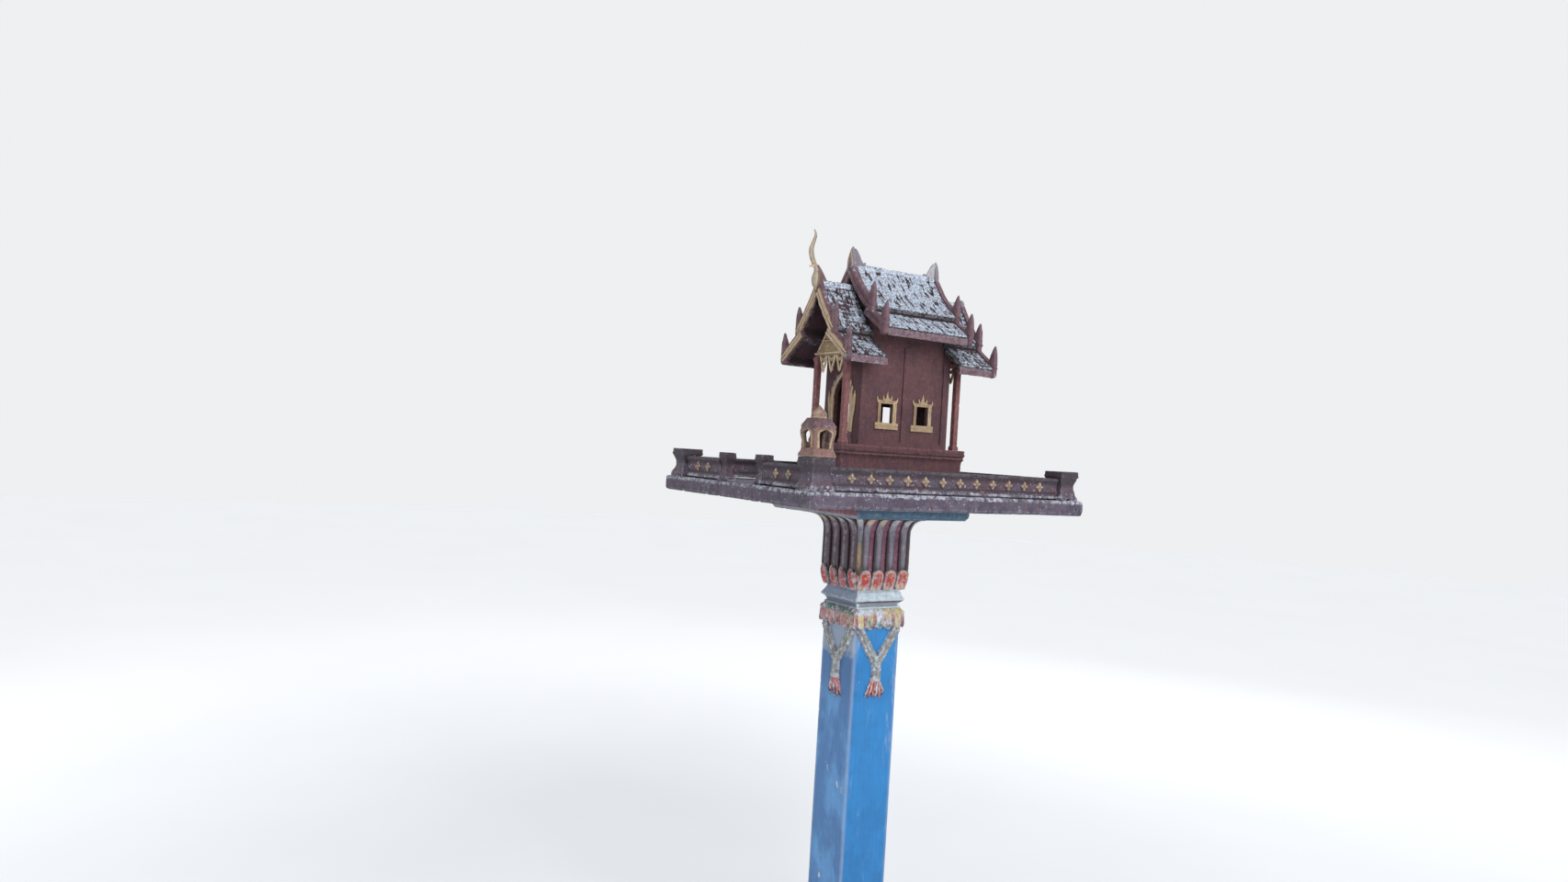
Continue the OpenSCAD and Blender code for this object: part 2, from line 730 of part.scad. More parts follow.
module window_frames() {
  color(c_gold) for (side = [-1, 1], y = [-window_offset, window_offset])
    translate([side * (hall_r + 2), house_back + y, floor_z + window_sill])
      rotate([0, 0, 90]) window_trim();
}

// Carved pediment over the columns, with tie beams to the hall and a fringe of points
module pediment() {
  half = column_gap / 2 + column_w / 2;
  rise = pediment_rise;
  fringe_w = (column_gap - column_w - 4) / 3;
  beam_y = porch_reach;
  color(c_gold) {
    translate([0, -column_y, lintel_z]) {
      upright(column_w) polygon(both_sides([[half, 0], [half, lintel_h]]));
      upright(6) polygon(both_sides([[half, lintel_h - 1], [half - 6, lintel_h + 5], [0, lintel_h + rise]]));
      upright(9) difference() {
        polygon(both_sides([[half, lintel_h - 1], [half - 4, lintel_h + 6], [0, lintel_h + rise + 2]]));
        polygon(both_sides([[half - 15, lintel_h + 5], [0, lintel_h + rise - 11]]));
      }
      translate([0, -1.5, 0]) upright(3) for (i = [-1, 0, 1]) translate([i * fringe_w, 0]) difference() {
        polygon([[-fringe_w / 2, 1], [fringe_w / 2, 1], [1.2, -29], [-1.2, -29]]);
        polygon([[-fringe_w / 2 + 5, -3], [fringe_w / 2 - 5, -3], [0, -20]]);
        polygon([[-fringe_w / 2 - 1, -8], [-fringe_w / 2 + 1, -8], [-fringe_w / 2, 2]]);
      }
    }
    for (side = [-1, 1])
      translate([side * column_gap / 2 - 3, -column_y + column_w / 2 - 1, lintel_z])
        cube([6, beam_y - column_w / 2 + 1, lintel_h]);
  }
}

module pediment_front() { translate([0, house_back, 0]) pediment(); }
module pediment_rear() { translate([0, house_back, 0]) mirror([0, 1, 0]) pediment(); }

// Gable panel of the main roof, between the long walls and the roof's underside
module main_gable() {
  inner = hall_r - wall_t;
  low = deck_h + at_x(porch_top, inner) - roof_t;
  upright(6)
    polygon(both_sides(concat([[inner, low]], under(main_top, inner, roof_t - deck_h))));
}

module gable_front() { color(c_maroon) translate([0, house_back - main_gable_y + 3, 0]) main_gable(); }
module gable_back() { color(c_maroon) translate([0, house_back + main_gable_y - 3, 0]) main_gable(); }

// Section of a two-tier roof shell with its ridge cap and eave boards
module roof_section(top, low) {
  u = top[3];
  e = low[1];
  j = low[0];
  riser = max(j[0] - 1, hall_r);
  polygon(both_sides(concat(
    [[3.5, top[0][1] + 4], [5, at_x(top, 5) + 3]],
    [[5.01, at_x(top, 5.01)], top[1], top[2], u, [u[0], u[1] - roof_t * 0.8]],
    [[j[0] + 2, u[1] - roof_t * 0.8], [j[0] + 2, at_x(low, j[0] + 2)]],
    [e, [e[0], e[1] - eave_h], [e[0] - 5, e[1] - eave_h], [e[0] - 5, at_x(low, e[0] - 5) - roof_t]],
    [[riser, at_x(low, riser) - roof_t], [riser, at_x(top, riser) - roof_t]],
    [[top[2][0], top[2][1] - roof_t], [top[1][0], top[1][1] - roof_t], [0, top[0][1] - roof_t]]
  )));
}

module main_roof() {
  color(c_tile) translate([0, house_back, deck_h])
    upright(2 * (main_half_y - barge_t)) roof_section(main_top, main_low);
}

// A porch roof runs from behind its bargeboard to the main gable
module low_roof() {
  front = porch_half_y - barge_t;
  depth = front - main_gable_y;
  translate([0, -main_gable_y - depth / 2, deck_h]) upright(depth)
    roof_section(porch_top, porch_low);
}

module porch_roof() { color(c_tile) translate([0, house_back, 0]) low_roof(); }
module rear_roof() { color(c_tile) translate([0, house_back, 0]) mirror([0, 1, 0]) low_roof(); }

// Horn that stands at the end of a tier, sweeping up out of the board, its root at the origin
module horn(h = horn_h) {
  w = horn_w;
  polygon([
    [-w, 1], [-w * 0.6, h * 0.1], [-w * 0.36, h * 0.26], [-w * 0.24, h * 0.46],
    [-w * 0.16, h * 0.68], [-w * 0.04, h * 0.88], [w * 0.12, h], [w * 0.24, h * 0.88],
    [w * 0.33, h * 0.68], [w * 0.38, h * 0.44], [w * 0.37, h * 0.18], [w * 0.37, -12],
    [-w * 0.4, -14]
  ]);
}

// Fin of a ridge finial in side view, standing on the ridge behind a bargeboard at y = 0
module ridge_fin(peak) {
  translate([0, -barge_t, 4]) rotate([90, 0, 90]) linear_extrude(height = 7, center = true)
    polygon([
      [1, 0], [-fin_reach, 0], [-fin_reach - 2, 3], [-fin_reach * 0.8, 9],
      [-fin_reach * 0.42, peak * 0.55], [-fin_reach * 0.12, peak * 0.8], [1, peak * 0.85]
    ]);
}

// Bargeboard outline: an upper band with its crest, two lower bands, each end with a horn
module barge_outline(top, low, crest) {
  u = top[3];
  e = low[1];
  j = low[0];
  polygon(both_sides(concat(
    crest,
    [for (i = [1:2]) [top[i][0] + 2, top[i][1] + barge_up]],
    [[u[0] + 3, u[1] + barge_up], [u[0] + 3, u[1] - barge_down + 4]],
    [[top[2][0] - 5, top[2][1] - barge_down], [top[1][0] - 6, top[1][1] - barge_down]],
    [[0, top[0][1] - barge_down - 6]]
  )));
  for (flip = [0, 1]) mirror([flip, 0]) {
    polygon([
      [j[0] - 8, at_x(low, j[0] - 8) + barge_up], [j[0] + 6, at_x(low, j[0] + 6) + barge_up],
      [e[0] + 3, e[1] + barge_up], [e[0] + 3, e[1] - eave_h], [e[0] - 7, e[1] - eave_h - 1],
      [j[0] - 8, at_x(low, j[0] - 8) - barge_down]
    ]);
    translate([u[0] - 4, u[1]]) horn();
    translate([e[0] - 4, e[1]]) horn(horn_h + 1);
  }
}

// Crest of a bargeboard: a pointed leaf over the ridge
function leaf_crest(z, h) = [
  [0, z + h], [3, z + h * 0.82], [7, z + h * 0.52], [10.5, z + h * 0.24], [10, z], [8, z - 4]
];

module main_barge() {
  translate([0, main_half_y, deck_h]) {
    translate([0, -barge_t / 2, 0]) upright(barge_t)
      barge_outline(main_top, main_low, leaf_crest(main_ridge + 2, leaf_h));
    translate([0, 0, main_ridge]) ridge_fin(leaf_h - 2);
  }
}

module bargeboard_main_back() { color(c_maroon) translate([0, house_back, 0]) main_barge(); }
module bargeboard_main_front() {
  color(c_maroon) translate([0, house_back, 0]) mirror([0, 1, 0]) main_barge();
}

// The front porch has a whole leaf that the chofa stands against
module bargeboard_porch() {
  color(c_maroon) translate([0, house_back - porch_half_y, deck_h]) mirror([0, 1, 0]) {
    translate([0, -barge_t / 2, 0]) upright(barge_t)
      barge_outline(porch_top, porch_low, leaf_crest(porch_ridge - 1, leaf_h));
    translate([0, 0, porch_ridge]) ridge_fin(leaf_h - 5);
  }
}

// The rear porch has lost its leaf and chofa: a low stub is left
module bargeboard_rear() {
  z = porch_ridge;
  color(c_maroon) translate([0, house_back + porch_half_y - barge_t / 2, deck_h])
    upright(barge_t) barge_outline(porch_top, porch_low, [[2, z + 11], [5, z + 8], [8, z - 3]]);
}

// Gilded horn of the porch peak in side view: a bulb, a beak and a thin neck in an S
module chofa() {
  h = chofa_h;
  color(c_gold) translate([0, house_back - porch_half_y, deck_h + porch_ridge])
    rotate([0, 0, -90]) {
      upright(7) polygon([
        [0, -h * 0.14], [4, -h * 0.1], [7, -h * 0.02], [8.5, h * 0.06], [8, h * 0.16],
        [6, h * 0.26], [7.5, h * 0.29], [15, h * 0.28], [16, h * 0.31], [13, h * 0.35],
        [17, h * 0.42], [20, h * 0.52], [20.5, h * 0.6], [18.5, h * 0.68], [14, h * 0.77],
        [11, h * 0.85], [10.5, h * 0.91], [13, h * 0.99], [11.5, h], [7.5, h * 0.94],
        [5, h * 0.87], [6.5, h * 0.79], [9.5, h * 0.7], [11, h * 0.6], [9, h * 0.5],
        [5, h * 0.4], [2, h * 0.32], [0, h * 0.25]
      ]);
      upright(11) polygon([
        [0, -h * 0.12], [4, -h * 0.08], [6.5, 0], [7.5, h * 0.06], [6.5, h * 0.15],
        [4, h * 0.22], [0, h * 0.2]
      ]);
    }
}

pillar_shaft();
garland_front();
garland_back();
garland_left();
garland_right();
petal_collar();
neck_ring();
lotus_capital();
abacus_plate();
platform_slab();
rail_front_left();
rail_front_right();
rail_left();
rail_right();
rail_back();
corner_post_front_left();
corner_post_front_right();
corner_post_back_left();
corner_post_back_right();
gate_post_left();
gate_post_right();
rosettes();
lantern_body();
lantern_roof();
house_plinth();
porch_columns();
rear_columns();
wall_front();
wall_back();
wall_left();
wall_right();
door_frame();
rear_niche_frame();
window_frames();
pediment_front();
pediment_rear();
gable_front();
gable_back();
main_roof();
porch_roof();
rear_roof();
bargeboard_porch();
bargeboard_main_front();
bargeboard_main_back();
bargeboard_rear();
chofa();
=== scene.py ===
"""Looks of a spirit house of cast cement that stands on one square pillar.

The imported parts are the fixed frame. Each sub-assembly is a class that holds its sizes in
millimetres and builds the weathered, carved and painted surfaces that stand for the plain parts.
"""

import json
import logging
import math
from collections.abc import Callable, Sequence
from dataclasses import dataclass, replace
from enum import Enum
from itertools import product

import bmesh
import bpy
import numpy as np
from mathutils import Matrix, Vector

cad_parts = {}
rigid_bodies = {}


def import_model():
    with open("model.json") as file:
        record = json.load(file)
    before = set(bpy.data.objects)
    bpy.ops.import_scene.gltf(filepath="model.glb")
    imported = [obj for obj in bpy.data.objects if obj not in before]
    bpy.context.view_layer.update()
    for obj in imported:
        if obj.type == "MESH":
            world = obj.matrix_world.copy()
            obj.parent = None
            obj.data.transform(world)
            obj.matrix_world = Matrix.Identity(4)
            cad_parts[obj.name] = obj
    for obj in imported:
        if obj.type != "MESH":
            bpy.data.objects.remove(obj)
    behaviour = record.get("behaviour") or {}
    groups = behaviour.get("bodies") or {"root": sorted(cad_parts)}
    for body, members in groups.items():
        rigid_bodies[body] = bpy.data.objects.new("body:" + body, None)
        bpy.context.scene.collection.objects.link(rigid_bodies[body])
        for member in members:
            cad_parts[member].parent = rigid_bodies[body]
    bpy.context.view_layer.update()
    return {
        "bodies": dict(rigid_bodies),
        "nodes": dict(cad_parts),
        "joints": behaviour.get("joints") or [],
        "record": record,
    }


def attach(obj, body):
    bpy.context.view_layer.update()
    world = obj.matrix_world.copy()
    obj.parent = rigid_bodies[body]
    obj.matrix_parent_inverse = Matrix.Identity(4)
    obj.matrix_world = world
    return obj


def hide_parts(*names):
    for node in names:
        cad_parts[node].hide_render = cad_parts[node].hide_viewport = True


LOG = logging.getLogger("spirit_house")

# A millimetre in metres. The height of the platform's top and the distance that the house's middle
# stands behind the pillar's, both in millimetres. The angle in degrees over which an edge stays sharp.
MM = 0.001
DECK = 1040.0
BACK = 30.0
SHARP = 38.0

Pair = tuple[float, float]
Spot = tuple[float, float, float]
Colour = tuple[float, float, float, float]
Place = tuple[Vector, Vector, Vector]


class Paint(Enum):
    """Paints, stains and bare stuffs of the real thing, and the dark tones used as painted shade, as
    hexadecimal colours.
    """

    PLAIN = "808080"
    BLUE = "1e75b3"
    BLUE_DEEP = "196aa5"
    BLUE_GREY = "548cc0"
    SLATE = "8795a8"
    PLASTER = "b9bfc6"
    GREY = "8b8a93"
    GREY_PALE = "b4b4b9"
    GREY_MID = "827c88"
    GREY_DARK = "55535d"
    OLIVE = "93978f"
    WHITE = "bccbd4"
    CREAM = "b8a994"
    PLUM = "554c5a"
    PLUM_DARK = "40394a"
    MAROON = "5c4049"
    MAROON_DARK = "48313a"
    BOARD = "684b53"
    NAVY = "3f6fa3"
    NAVY_DARK = "35608f"
    MAROON_GREY = "6c565e"
    GROOVE = "84566a"
    RED = "a8382f"
    RED_BROWN = "784c4c"
    WALL = "5a3b3e"
    BRICK = "84565a"
    ORANGE = "b4694c"
    PINK = "b0707c"
    TEAL = "4a6a80"
    GREEN = "3f6c66"
    YELLOW = "b9a970"
    GOLD = "a58e70"
    GOLD_PALE = "bea988"
    GOLD_DARK = "7a6450"
    GOLD_GREY = "988b7a"
    CLAY = "77574f"
    # Near black for soot stains, and for painted shade under the eaves and boards, in the gables and in
    # hollows.
    SOOT = "241c20"
    LICHEN = "b6bac8"
    FROST = "c8d3e2"

    def linear(self) -> Colour:
        """The colour in linear light, as shaders take it."""
        parts = [int(self.value[i:i + 2], 16) / 255 for i in (0, 2, 4)]
        light = [p / 12.92 if p <= 0.04045 else ((p + 0.055) / 1.055) ** 2.4 for p in parts]
        return (light[0], light[1], light[2], 1.0)


Coat = Paint | Sequence[Paint]


class Side(Enum):
    """A side of the pillar or the platform, in quarter turns from the front."""

    FRONT = 0
    RIGHT = 1
    BACK = 2
    LEFT = 3

    @property
    def label(self) -> str:
        """The side's name in the names of pieces and parts."""
        return self.name.lower()

    @property
    def angle(self) -> float:
        """Turn round the upright axis, in radians."""
        return math.radians(90 * self.value)

    def turn(self) -> Matrix:
        """Rotation that carries a piece made for the front to this side."""
        return Matrix.Rotation(self.angle, 4, "Z")


@dataclass(frozen=True)
class Plane:
    """A plane to draw in, in millimetres; it stands upright and faces the front unless told."""

    origin: Spot = (0.0, 0.0, 0.0)
    across: Spot = (1.0, 0.0, 0.0)
    up: Spot = (0.0, 0.0, 1.0)
    out: Spot = (0.0, -1.0, 0.0)

    def at(self, a: np.ndarray, b: np.ndarray, w: np.ndarray | float) -> np.ndarray:
        """Points in space from places in the plane.

        Args:
            a: Distances along the across axis.
            b: Distances along the up axis.
            w: Distances along the out axis.

        Returns:
            One point for each place.
        """
        axes = np.array([self.across, self.up, self.out], float)
        flat = np.column_stack([np.ravel(v) for v in np.broadcast_arrays(a, b, w)])
        return np.array(self.origin) + flat @ axes

    def lifted(self, out: float) -> "Plane":
        """The same plane moved out."""
        o = np.array(self.origin) + np.array(self.out) * out
        return replace(self, origin=(o[0], o[1], o[2]))

    def turned(self, way: int = 1) -> "Plane":
        """The plane at right angles: it runs out of this one, or into it at -1, and faces across."""
        x, y, z = self.out
        return Plane(self.origin, (way * x, way * y, way * z), self.up, self.across)


class Form:
    """A surface being built in millimetres, with a paint for each face."""

    def __init__(self) -> None:
        """Starts with no surface."""
        self.points: list[np.ndarray] = []
        self.faces: list[tuple[int, ...]] = []
        self.paints: list[Paint] = []
        self.count = 0

    def add(self, points: np.ndarray, faces: Sequence[Sequence[int]], paints: Coat) -> "Form":
        """Adds faces.

        Args:
            points: Corner points.
            faces: Corner numbers of each face, counted from the first of these points.
            paints: One paint for all the faces, or one for each.

        Returns:
            This form.
        """
        points = np.asarray(points, float).reshape(-1, 3)
        self.points.append(points)
        self.faces += [tuple(self.count + i for i in face) for face in faces]
        self.paints += [paints] * len(faces) if isinstance(paints, Paint) else list(paints)
        self.count += len(points)
        return self

    def join(self, other: "Form", place: Matrix | None = None) -> "Form":
        """Adds a copy of another form.

        Args:
            other: The form to copy.
            place: Where the copy goes.

        Returns:
            This form.
        """
        points = np.vstack(other.points)
        if place is not None:
            m = np.array(place)
            points = points @ m[:3, :3].T + m[:3, 3]
        return self.add(points, other.faces, other.paints)

    def repaint(self, rule: Callable[[np.ndarray], Paint | None]) -> "Form":
        """Paints faces by where they are.

        Args:
            rule: The paint for a face's middle, or nothing to leave it.

        Returns:
            This form.
        """
        points = np.vstack(self.points)
        for i, face in enumerate(self.faces):
            self.paints[i] = rule(points[list(face)].mean(0)) or self.paints[i]
        return self

    def loft(self, rings: Sequence[np.ndarray], paints: Coat = Paint.PLAIN) -> "Form":
        """Skins a closed body over rings of points and closes both ends.

        Args:
            rings: Rings with the same number of points.
            paints: One paint, or one for each point of a ring.

        Returns:
            This form.
        """
        n = len(rings[0])
        bands = [paints] * n if isinstance(paints, Paint) else list(paints)
        faces = [(low + i, low + (i + 1) % n, low + n + (i + 1) % n, low + n + i)
                 for low in range(0, (len(rings) - 1) * n, n) for i in range(n)]
        faces += [tuple(range(n - 1, -1, -1)), tuple(range((len(rings) - 1) * n, len(rings) * n))]
        return self.add(np.vstack(rings), faces, bands * (len(rings) - 1) + [bands[0], bands[0]])


def grain(points: np.ndarray, size: float, seed: int) -> np.ndarray:
    """Smooth noise from -1 to 1.

    Args:
        points: Points in millimetres.
        size: Size of one blotch in millimetres.
        seed: Number that picks the pattern.

    Returns:
        One number for each point.
    """
    spot = points / size + seed * 7.31
    cell = np.floor(spot).astype(np.int64)
    part = spot - cell
    part = part * part * (3 - 2 * part)
    total = np.zeros(len(points))
    for corner in product((0, 1), repeat=3):
        c = cell + corner
        h = (c[:, 0] * 73856093) ^ (c[:, 1] * 19349663) ^ (c[:, 2] * 83492791) ^ (seed * 2654435)
        h = ((h ^ (h >> 13)) * 1274126177) & 0x7FFFFFFF
        h = ((h ^ (h >> 15)) * 668265263) & 0x7FFFFFFF
        total += np.prod(np.where(corner, part, 1 - part), axis=1) * (h / 0x3FFFFFFF - 1)
    return total


def fine(line: Sequence[Pair], step: float) -> list[Pair]:
    """The same line with points no further apart than a step.

    Args:
        line: Corners of the line.
        step: Longest distance between two points.

    Returns:
        The points.
    """
    out = [line[0]]
    for a, b in zip(line, line[1:]):
        n = max(1, math.ceil(math.dist(a, b) / step))
        out += [(a[0] + (b[0] - a[0]) * i / n, a[1] + (b[1] - a[1]) * i / n) for i in range(1, n + 1)]
    return out


def mirrored(line: Sequence[Pair]) -> list[Pair]:
    """A line and its mirror image, which runs back from the line's last point."""
    return list(line) + [(-a, b) for a, b in reversed(line[:-1])]


def spaced(start: float, end: float, step: float) -> np.ndarray:
    """Places from a start to an end, about a step apart."""
    return np.linspace(start, end, max(3, round(abs(end - start) / step)))


def flowing(stations: Sequence[Sequence[float]], per: int) -> np.ndarray:
    """A smooth curve through stations.

    Args:
        stations: Rows of numbers to pass through.
        per: Points for each stretch.

    Returns:
        Rows along the curve.
    """
    p = np.array(stations, float)
    p = np.vstack([2 * p[0] - p[1], p, 2 * p[-1] - p[-2]])
    rows = []
    for a, b, c, d in zip(p, p[1:], p[2:], p[3:]):
        for k in range(per):
            t = k / per
            rows.append(0.5 * (2 * b + (c - a) * t + (2 * a - 5 * b + 4 * c - d) * t ** 2
                               + (3 * b - a - 3 * c + d) * t ** 3))
    return np.array(rows + [p[-2]])


def at_x(line: Sequence[Pair], x: float) -> float:
    """Height on a line of points, carried on past its ends.

    Args:
        line: The points, from the middle out.
        x: Distance from the middle.

    Returns:
        The height.
    """
    k = next((i for i in range(len(line) - 2) if x <= line[i + 1][0]), len(line) - 2)
    (x0, z0), (x1, z1) = line[k], line[k + 1]
    return z0 + (z1 - z0) * (x - x0) / (x1 - x0)


def oval(x: float, y: float, sides: int) -> np.ndarray:
    """Corners of a level oval round the Z axis, from its half width and half depth."""
    turn = np.arange(sides) * 2 * math.pi / sides
    return np.column_stack([x * np.cos(turn), y * np.sin(turn)])


def block(
    half_x: float,
    half_y: float,
    moulding: Sequence[Pair],
    step: float,
    crown: Sequence[float],
    paint: Paint = Paint.PLAIN,
) -> Form:
    """Upright block whose four sides follow a moulding.

    Args:
        half_x: Half width.
        half_y: Half depth.
        moulding: Change of the half sizes and height, from the bottom up.
        step: Distance between points.
        crown: Insets of the rings that cross the top.
        paint: Paint of the block.

    Returns:
        The block, round the Z axis.
    """
    fx = np.linspace(-1, 1, max(2, round(2 * half_x / step)) + 1)[:-1]
    fy = np.linspace(-1, 1, max(2, round(2 * half_y / step)) + 1)[:-1]
    one_x, one_y = np.ones(len(fx)), np.ones(len(fy))
    ux = np.concatenate([fx, one_y, -fx, -one_y])
    uy = np.concatenate([-one_x, fy, one_x, -fy])
    line = fine(moulding, step)
    o, z = line[-1]
    line += [(o - inset, z) for inset in crown if min(half_x, half_y) + o - inset > 0.4]
    rings = [np.column_stack([ux * (half_x + o), uy * (half_y + o), np.full(len(ux), z)]) for o, z in line]
    return Form().loft(rings, paint)


def drawn(section: Sequence[Pair], places: Sequence[float], plane: Plane, paints: Coat = Paint.PLAIN) -> Form:
    """Straight bar with a closed section.

    Args:
        section: Corners of the section, across and up the plane.
        places: Distances out of the plane at which the section is set.
        plane: The plane.
        paints: One paint, or one for each corner of the section.

    Returns:
        The bar.
    """
    s = np.array(section, float)
    return Form().loft([plane.at(s[:, 0], s[:, 1], w) for w in places], paints)


def sweep(path: Sequence[Pair], section: Sequence[Pair], plane: Plane, paints: Coat) -> Form:
    """Carries a closed section along a line drawn in a plane.

    Args:
        path: The line, across and up.
        section: Corners of the section: distance to the left of the line, and out of the plane.
        plane: The plane.
        paints: One paint, or one for each corner of the section.

    Returns:
        The swept body.
    """
    p = np.array(path, float)
    d = np.diff(p, axis=0)
    d /= np.linalg.norm(d, axis=1)[:, None]
    left = np.column_stack([-d[:, 1], d[:, 0]])
    before, after = np.vstack([left[:1], left]), np.vstack([left, left[-1:]])
    mitre = before + after
    mitre /= (mitre * before).sum(1)[:, None]
    s = np.array(section, float)
    rings = [plane.at(q[0] + m[0] * s[:, 0], q[1] + m[1] * s[:, 0], s[:, 1]) for q, m in zip(p, mitre)]
    return Form().loft(rings, paints)


def taper(
    stations: Sequence[Sequence[float]], plane: Plane, sides: int, per: int, flat: float, paint: Paint
) -> Form:
    """Body with an oval section that swells and narrows along a curve.

    Args:
        stations: Across, up, half width and half thickness at each place on the curve.
        plane: The plane that the curve lies in.
        sides: Points of a section.
        per: Sections for each stretch.
        flat: Power of the section's outline: under 1 makes it boxy.
        paint: Paint of the body.

    Returns:
        The body.
    """
    rows = flowing(stations, per)
    d = np.gradient(rows[:, :2], axis=0)
    d /= np.linalg.norm(d, axis=1)[:, None]
    c, s = (np.sign(v) * np.abs(v) ** flat for v in oval(1, 1, sides).T)
    rows[:, 2:] = np.maximum(rows[:, 2:], 0.1)
    rings = [plane.at(a - t[1] * w * c, b + t[0] * w * c, h * s) for (a, b, w, h), t in zip(rows, d)]
    return Form().loft(rings, paint)


def inset(outline: np.ndarray, d: float) -> np.ndarray:
    """A closed outline moved to its inside.

    Args:
        outline: Corners of the outline.
        d: How far it moves, or less than nothing for its outside.

    Returns:
        The corners of the moved outline.
    """
    ahead = np.roll(outline, -1, axis=0) - outline
    ahead /= np.maximum(np.linalg.norm(ahead, axis=1), 1e-9)[:, None]
    left = np.column_stack([-ahead[:, 1], ahead[:, 0]])
    area = (outline[:, 0] * np.roll(outline[:, 1], -1) - outline[:, 1] * np.roll(outline[:, 0], -1)).sum()
    mitre = left + np.roll(left, 1, axis=0)
    mitre /= np.maximum((mitre * left).sum(1), 0.35)[:, None]
    return outline + mitre * d * (1 if area > 0 else -1)


def plate(outline: Sequence[Pair], plane: Plane, thick: float, bevel: float, paint: Paint) -> Form:
    """Flat plate with rounded edges, its middle in the plane.

    Args:
        outline: Corners of the plate.
        plane: The plane.
        thick: Thickness.
        bevel: Width of the rounding.
        paint: Paint of the plate.

    Returns:
        The plate.
    """
    line = np.array(fine(list(outline) + [outline[0]], 4.0)[:-1])
    half = [(0, bevel), (bevel * 0.5, bevel * 0.3), (bevel, 0)]
    rings = []
    for w, d in half + [(thick / 2, 0)] + [(thick - w, d) for w, d in reversed(half)]:
        ring = inset(line, d)
        rings.append(plane.at(ring[:, 0], ring[:, 1], w - thick / 2))
    return Form().loft(rings, paint)


def tongue(
    length: float,
    half_width: Callable[[float], float],
    height: Callable[[np.ndarray, np.ndarray, float], np.ndarray],
    plane: Plane,
    rows: int,
    cols: int,
    paint: Callable[[float, float], Paint] = lambda t, s: Paint.PLAIN,
) -> Form:
    """Carved petal or panel: a raised front on a flat back.

    Args:
        length: Length from root to tip.
        half_width: Half width at a share of the length.
        height: Height out of the plane, from places across, shares of the width and of the length.
        plane: The plane of the back.
        rows: Rows of faces along the length.
        cols: Columns of faces.
        paint: The paint at a share of the length and of the width.

    Returns:
        The petal, closed.
    """
    share = np.linspace(-1, 1, cols + 1)
    front = []
    for r in range(rows + 1):
        t = r / rows
        a = share * half_width(t)
        front.append(plane.at(a, np.full(cols + 1, t * length), height(a, share, t)))
    n = cols + 1
    cells = list(product(range(rows), range(cols)))
    faces = [(r * n + c, r * n + c + 1, (r + 1) * n + c + 1, (r + 1) * n + c) for r, c in cells]
    paints = [paint((r + 0.5) / rows, (c + 0.5) / cols * 2 - 1) for r, c in cells]
    rim = list(range(n)) + [r * n + cols for r in range(1, rows + 1)]
    rim += [rows * n + c for c in range(cols - 1, -1, -1)] + [r * n for r in range(rows - 1, 0, -1)]
    points = np.vstack(front)
    out = np.array(plane.out)
    back = points[rim] - np.outer((points[rim] - np.array(plane.origin)) @ out, out)
    start = len(points)
    m = len(rim)
    faces += [(rim[(i + 1) % m], rim[i], start + i, start + (i + 1) % m) for i in range(m)]
    faces.append(tuple(range(start + m - 1, start - 1, -1)))
    return Form().add(np.vstack([points, back]), faces, paints + [paints[0]] * (m + 1))


def dome(width: float, depth: float, height: float, sides: int, rings: int, paint: Paint) -> Form:
    """Half an egg that rises from z = 0.

    Args:
        width: Width at its foot.
        depth: Depth at its foot.
        height: Height.
        sides: Points of a ring.
        rings: Rings up to the top.
        paint: Paint of the dome.

    Returns:
        The dome, closed below.
    """
    out = []
    for r in range(rings + 1):
        t = math.pi / 2 * min(r / rings, 0.97)
        level = oval(width / 2 * math.cos(t), depth / 2 * math.cos(t), sides)
        out.append(np.column_stack([level, np.full(sides, height * math.sin(t))]))
    return Form().loft(out, paint)


@dataclass(frozen=True)
class Weather:
    """How far years outdoors have worn a surface, in millimetres."""

    rough: float
    swell: float
    chip: float
    share: float
    rounds: int
    seed: int

    def wear(self, mesh: bpy.types.Mesh) -> None:
        """Rounds and chips the edges, roughens the faces and notes the relief.

        Args:
            mesh: The mesh to change, in metres.
        """
        n = len(mesh.vertices)
        at, out = np.empty(n * 3), np.empty(n * 3)
        mesh.vertices.foreach_get("co", at)
        mesh.vertex_normals.foreach_get("vector", out)
        at, out = at.reshape(-1, 3) / MM, out.reshape(-1, 3)
        ends = np.empty(len(mesh.edges) * 2, np.int64)
        mesh.edges.foreach_get("vertices", ends)
        a, b = ends[0::2], ends[1::2]
        degree = np.maximum(np.bincount(a, minlength=n) + np.bincount(b, minlength=n), 1)

        def relaxed(points: np.ndarray, rounds: int) -> np.ndarray:
            """Points moved towards the middle of their neighbours.

            Args:
                points: The points.
                rounds: How many times they move.

            Returns:
                The moved points.
            """
            for _ in range(rounds):
                sums = [np.bincount(a, points[b, k], n) + np.bincount(b, points[a, k], n) for k in range(3)]
                points = (points + np.column_stack([total / degree for total in sums])) / 2
            return points

        soft = relaxed(at, self.rounds)
        ridge = ((at - relaxed(soft, 8)) * out).sum(1)
        noise = 0.6 * grain(at, 11, self.seed) + 0.4 * grain(at, 3.7, self.seed + 1)
        chips = np.clip((noise - (0.55 - self.share)) / 0.3, 0, 1)
        move = -((at - soft) * out).sum(1)
        move -= chips * np.clip(ridge * 1.6, 0, self.chip)
        move += self.swell * grain(at, 55, self.seed + 2) + self.rough * grain(at, 2.6, self.seed + 3)
        mesh.vertices.foreach_set("co", ((at + out * move[:, None]) * MM).ravel())
        relief = mesh.attributes.new("relief", "FLOAT", "POINT")
        relief.data.foreach_set("value", np.clip(ridge / 2.0, -1, 1))


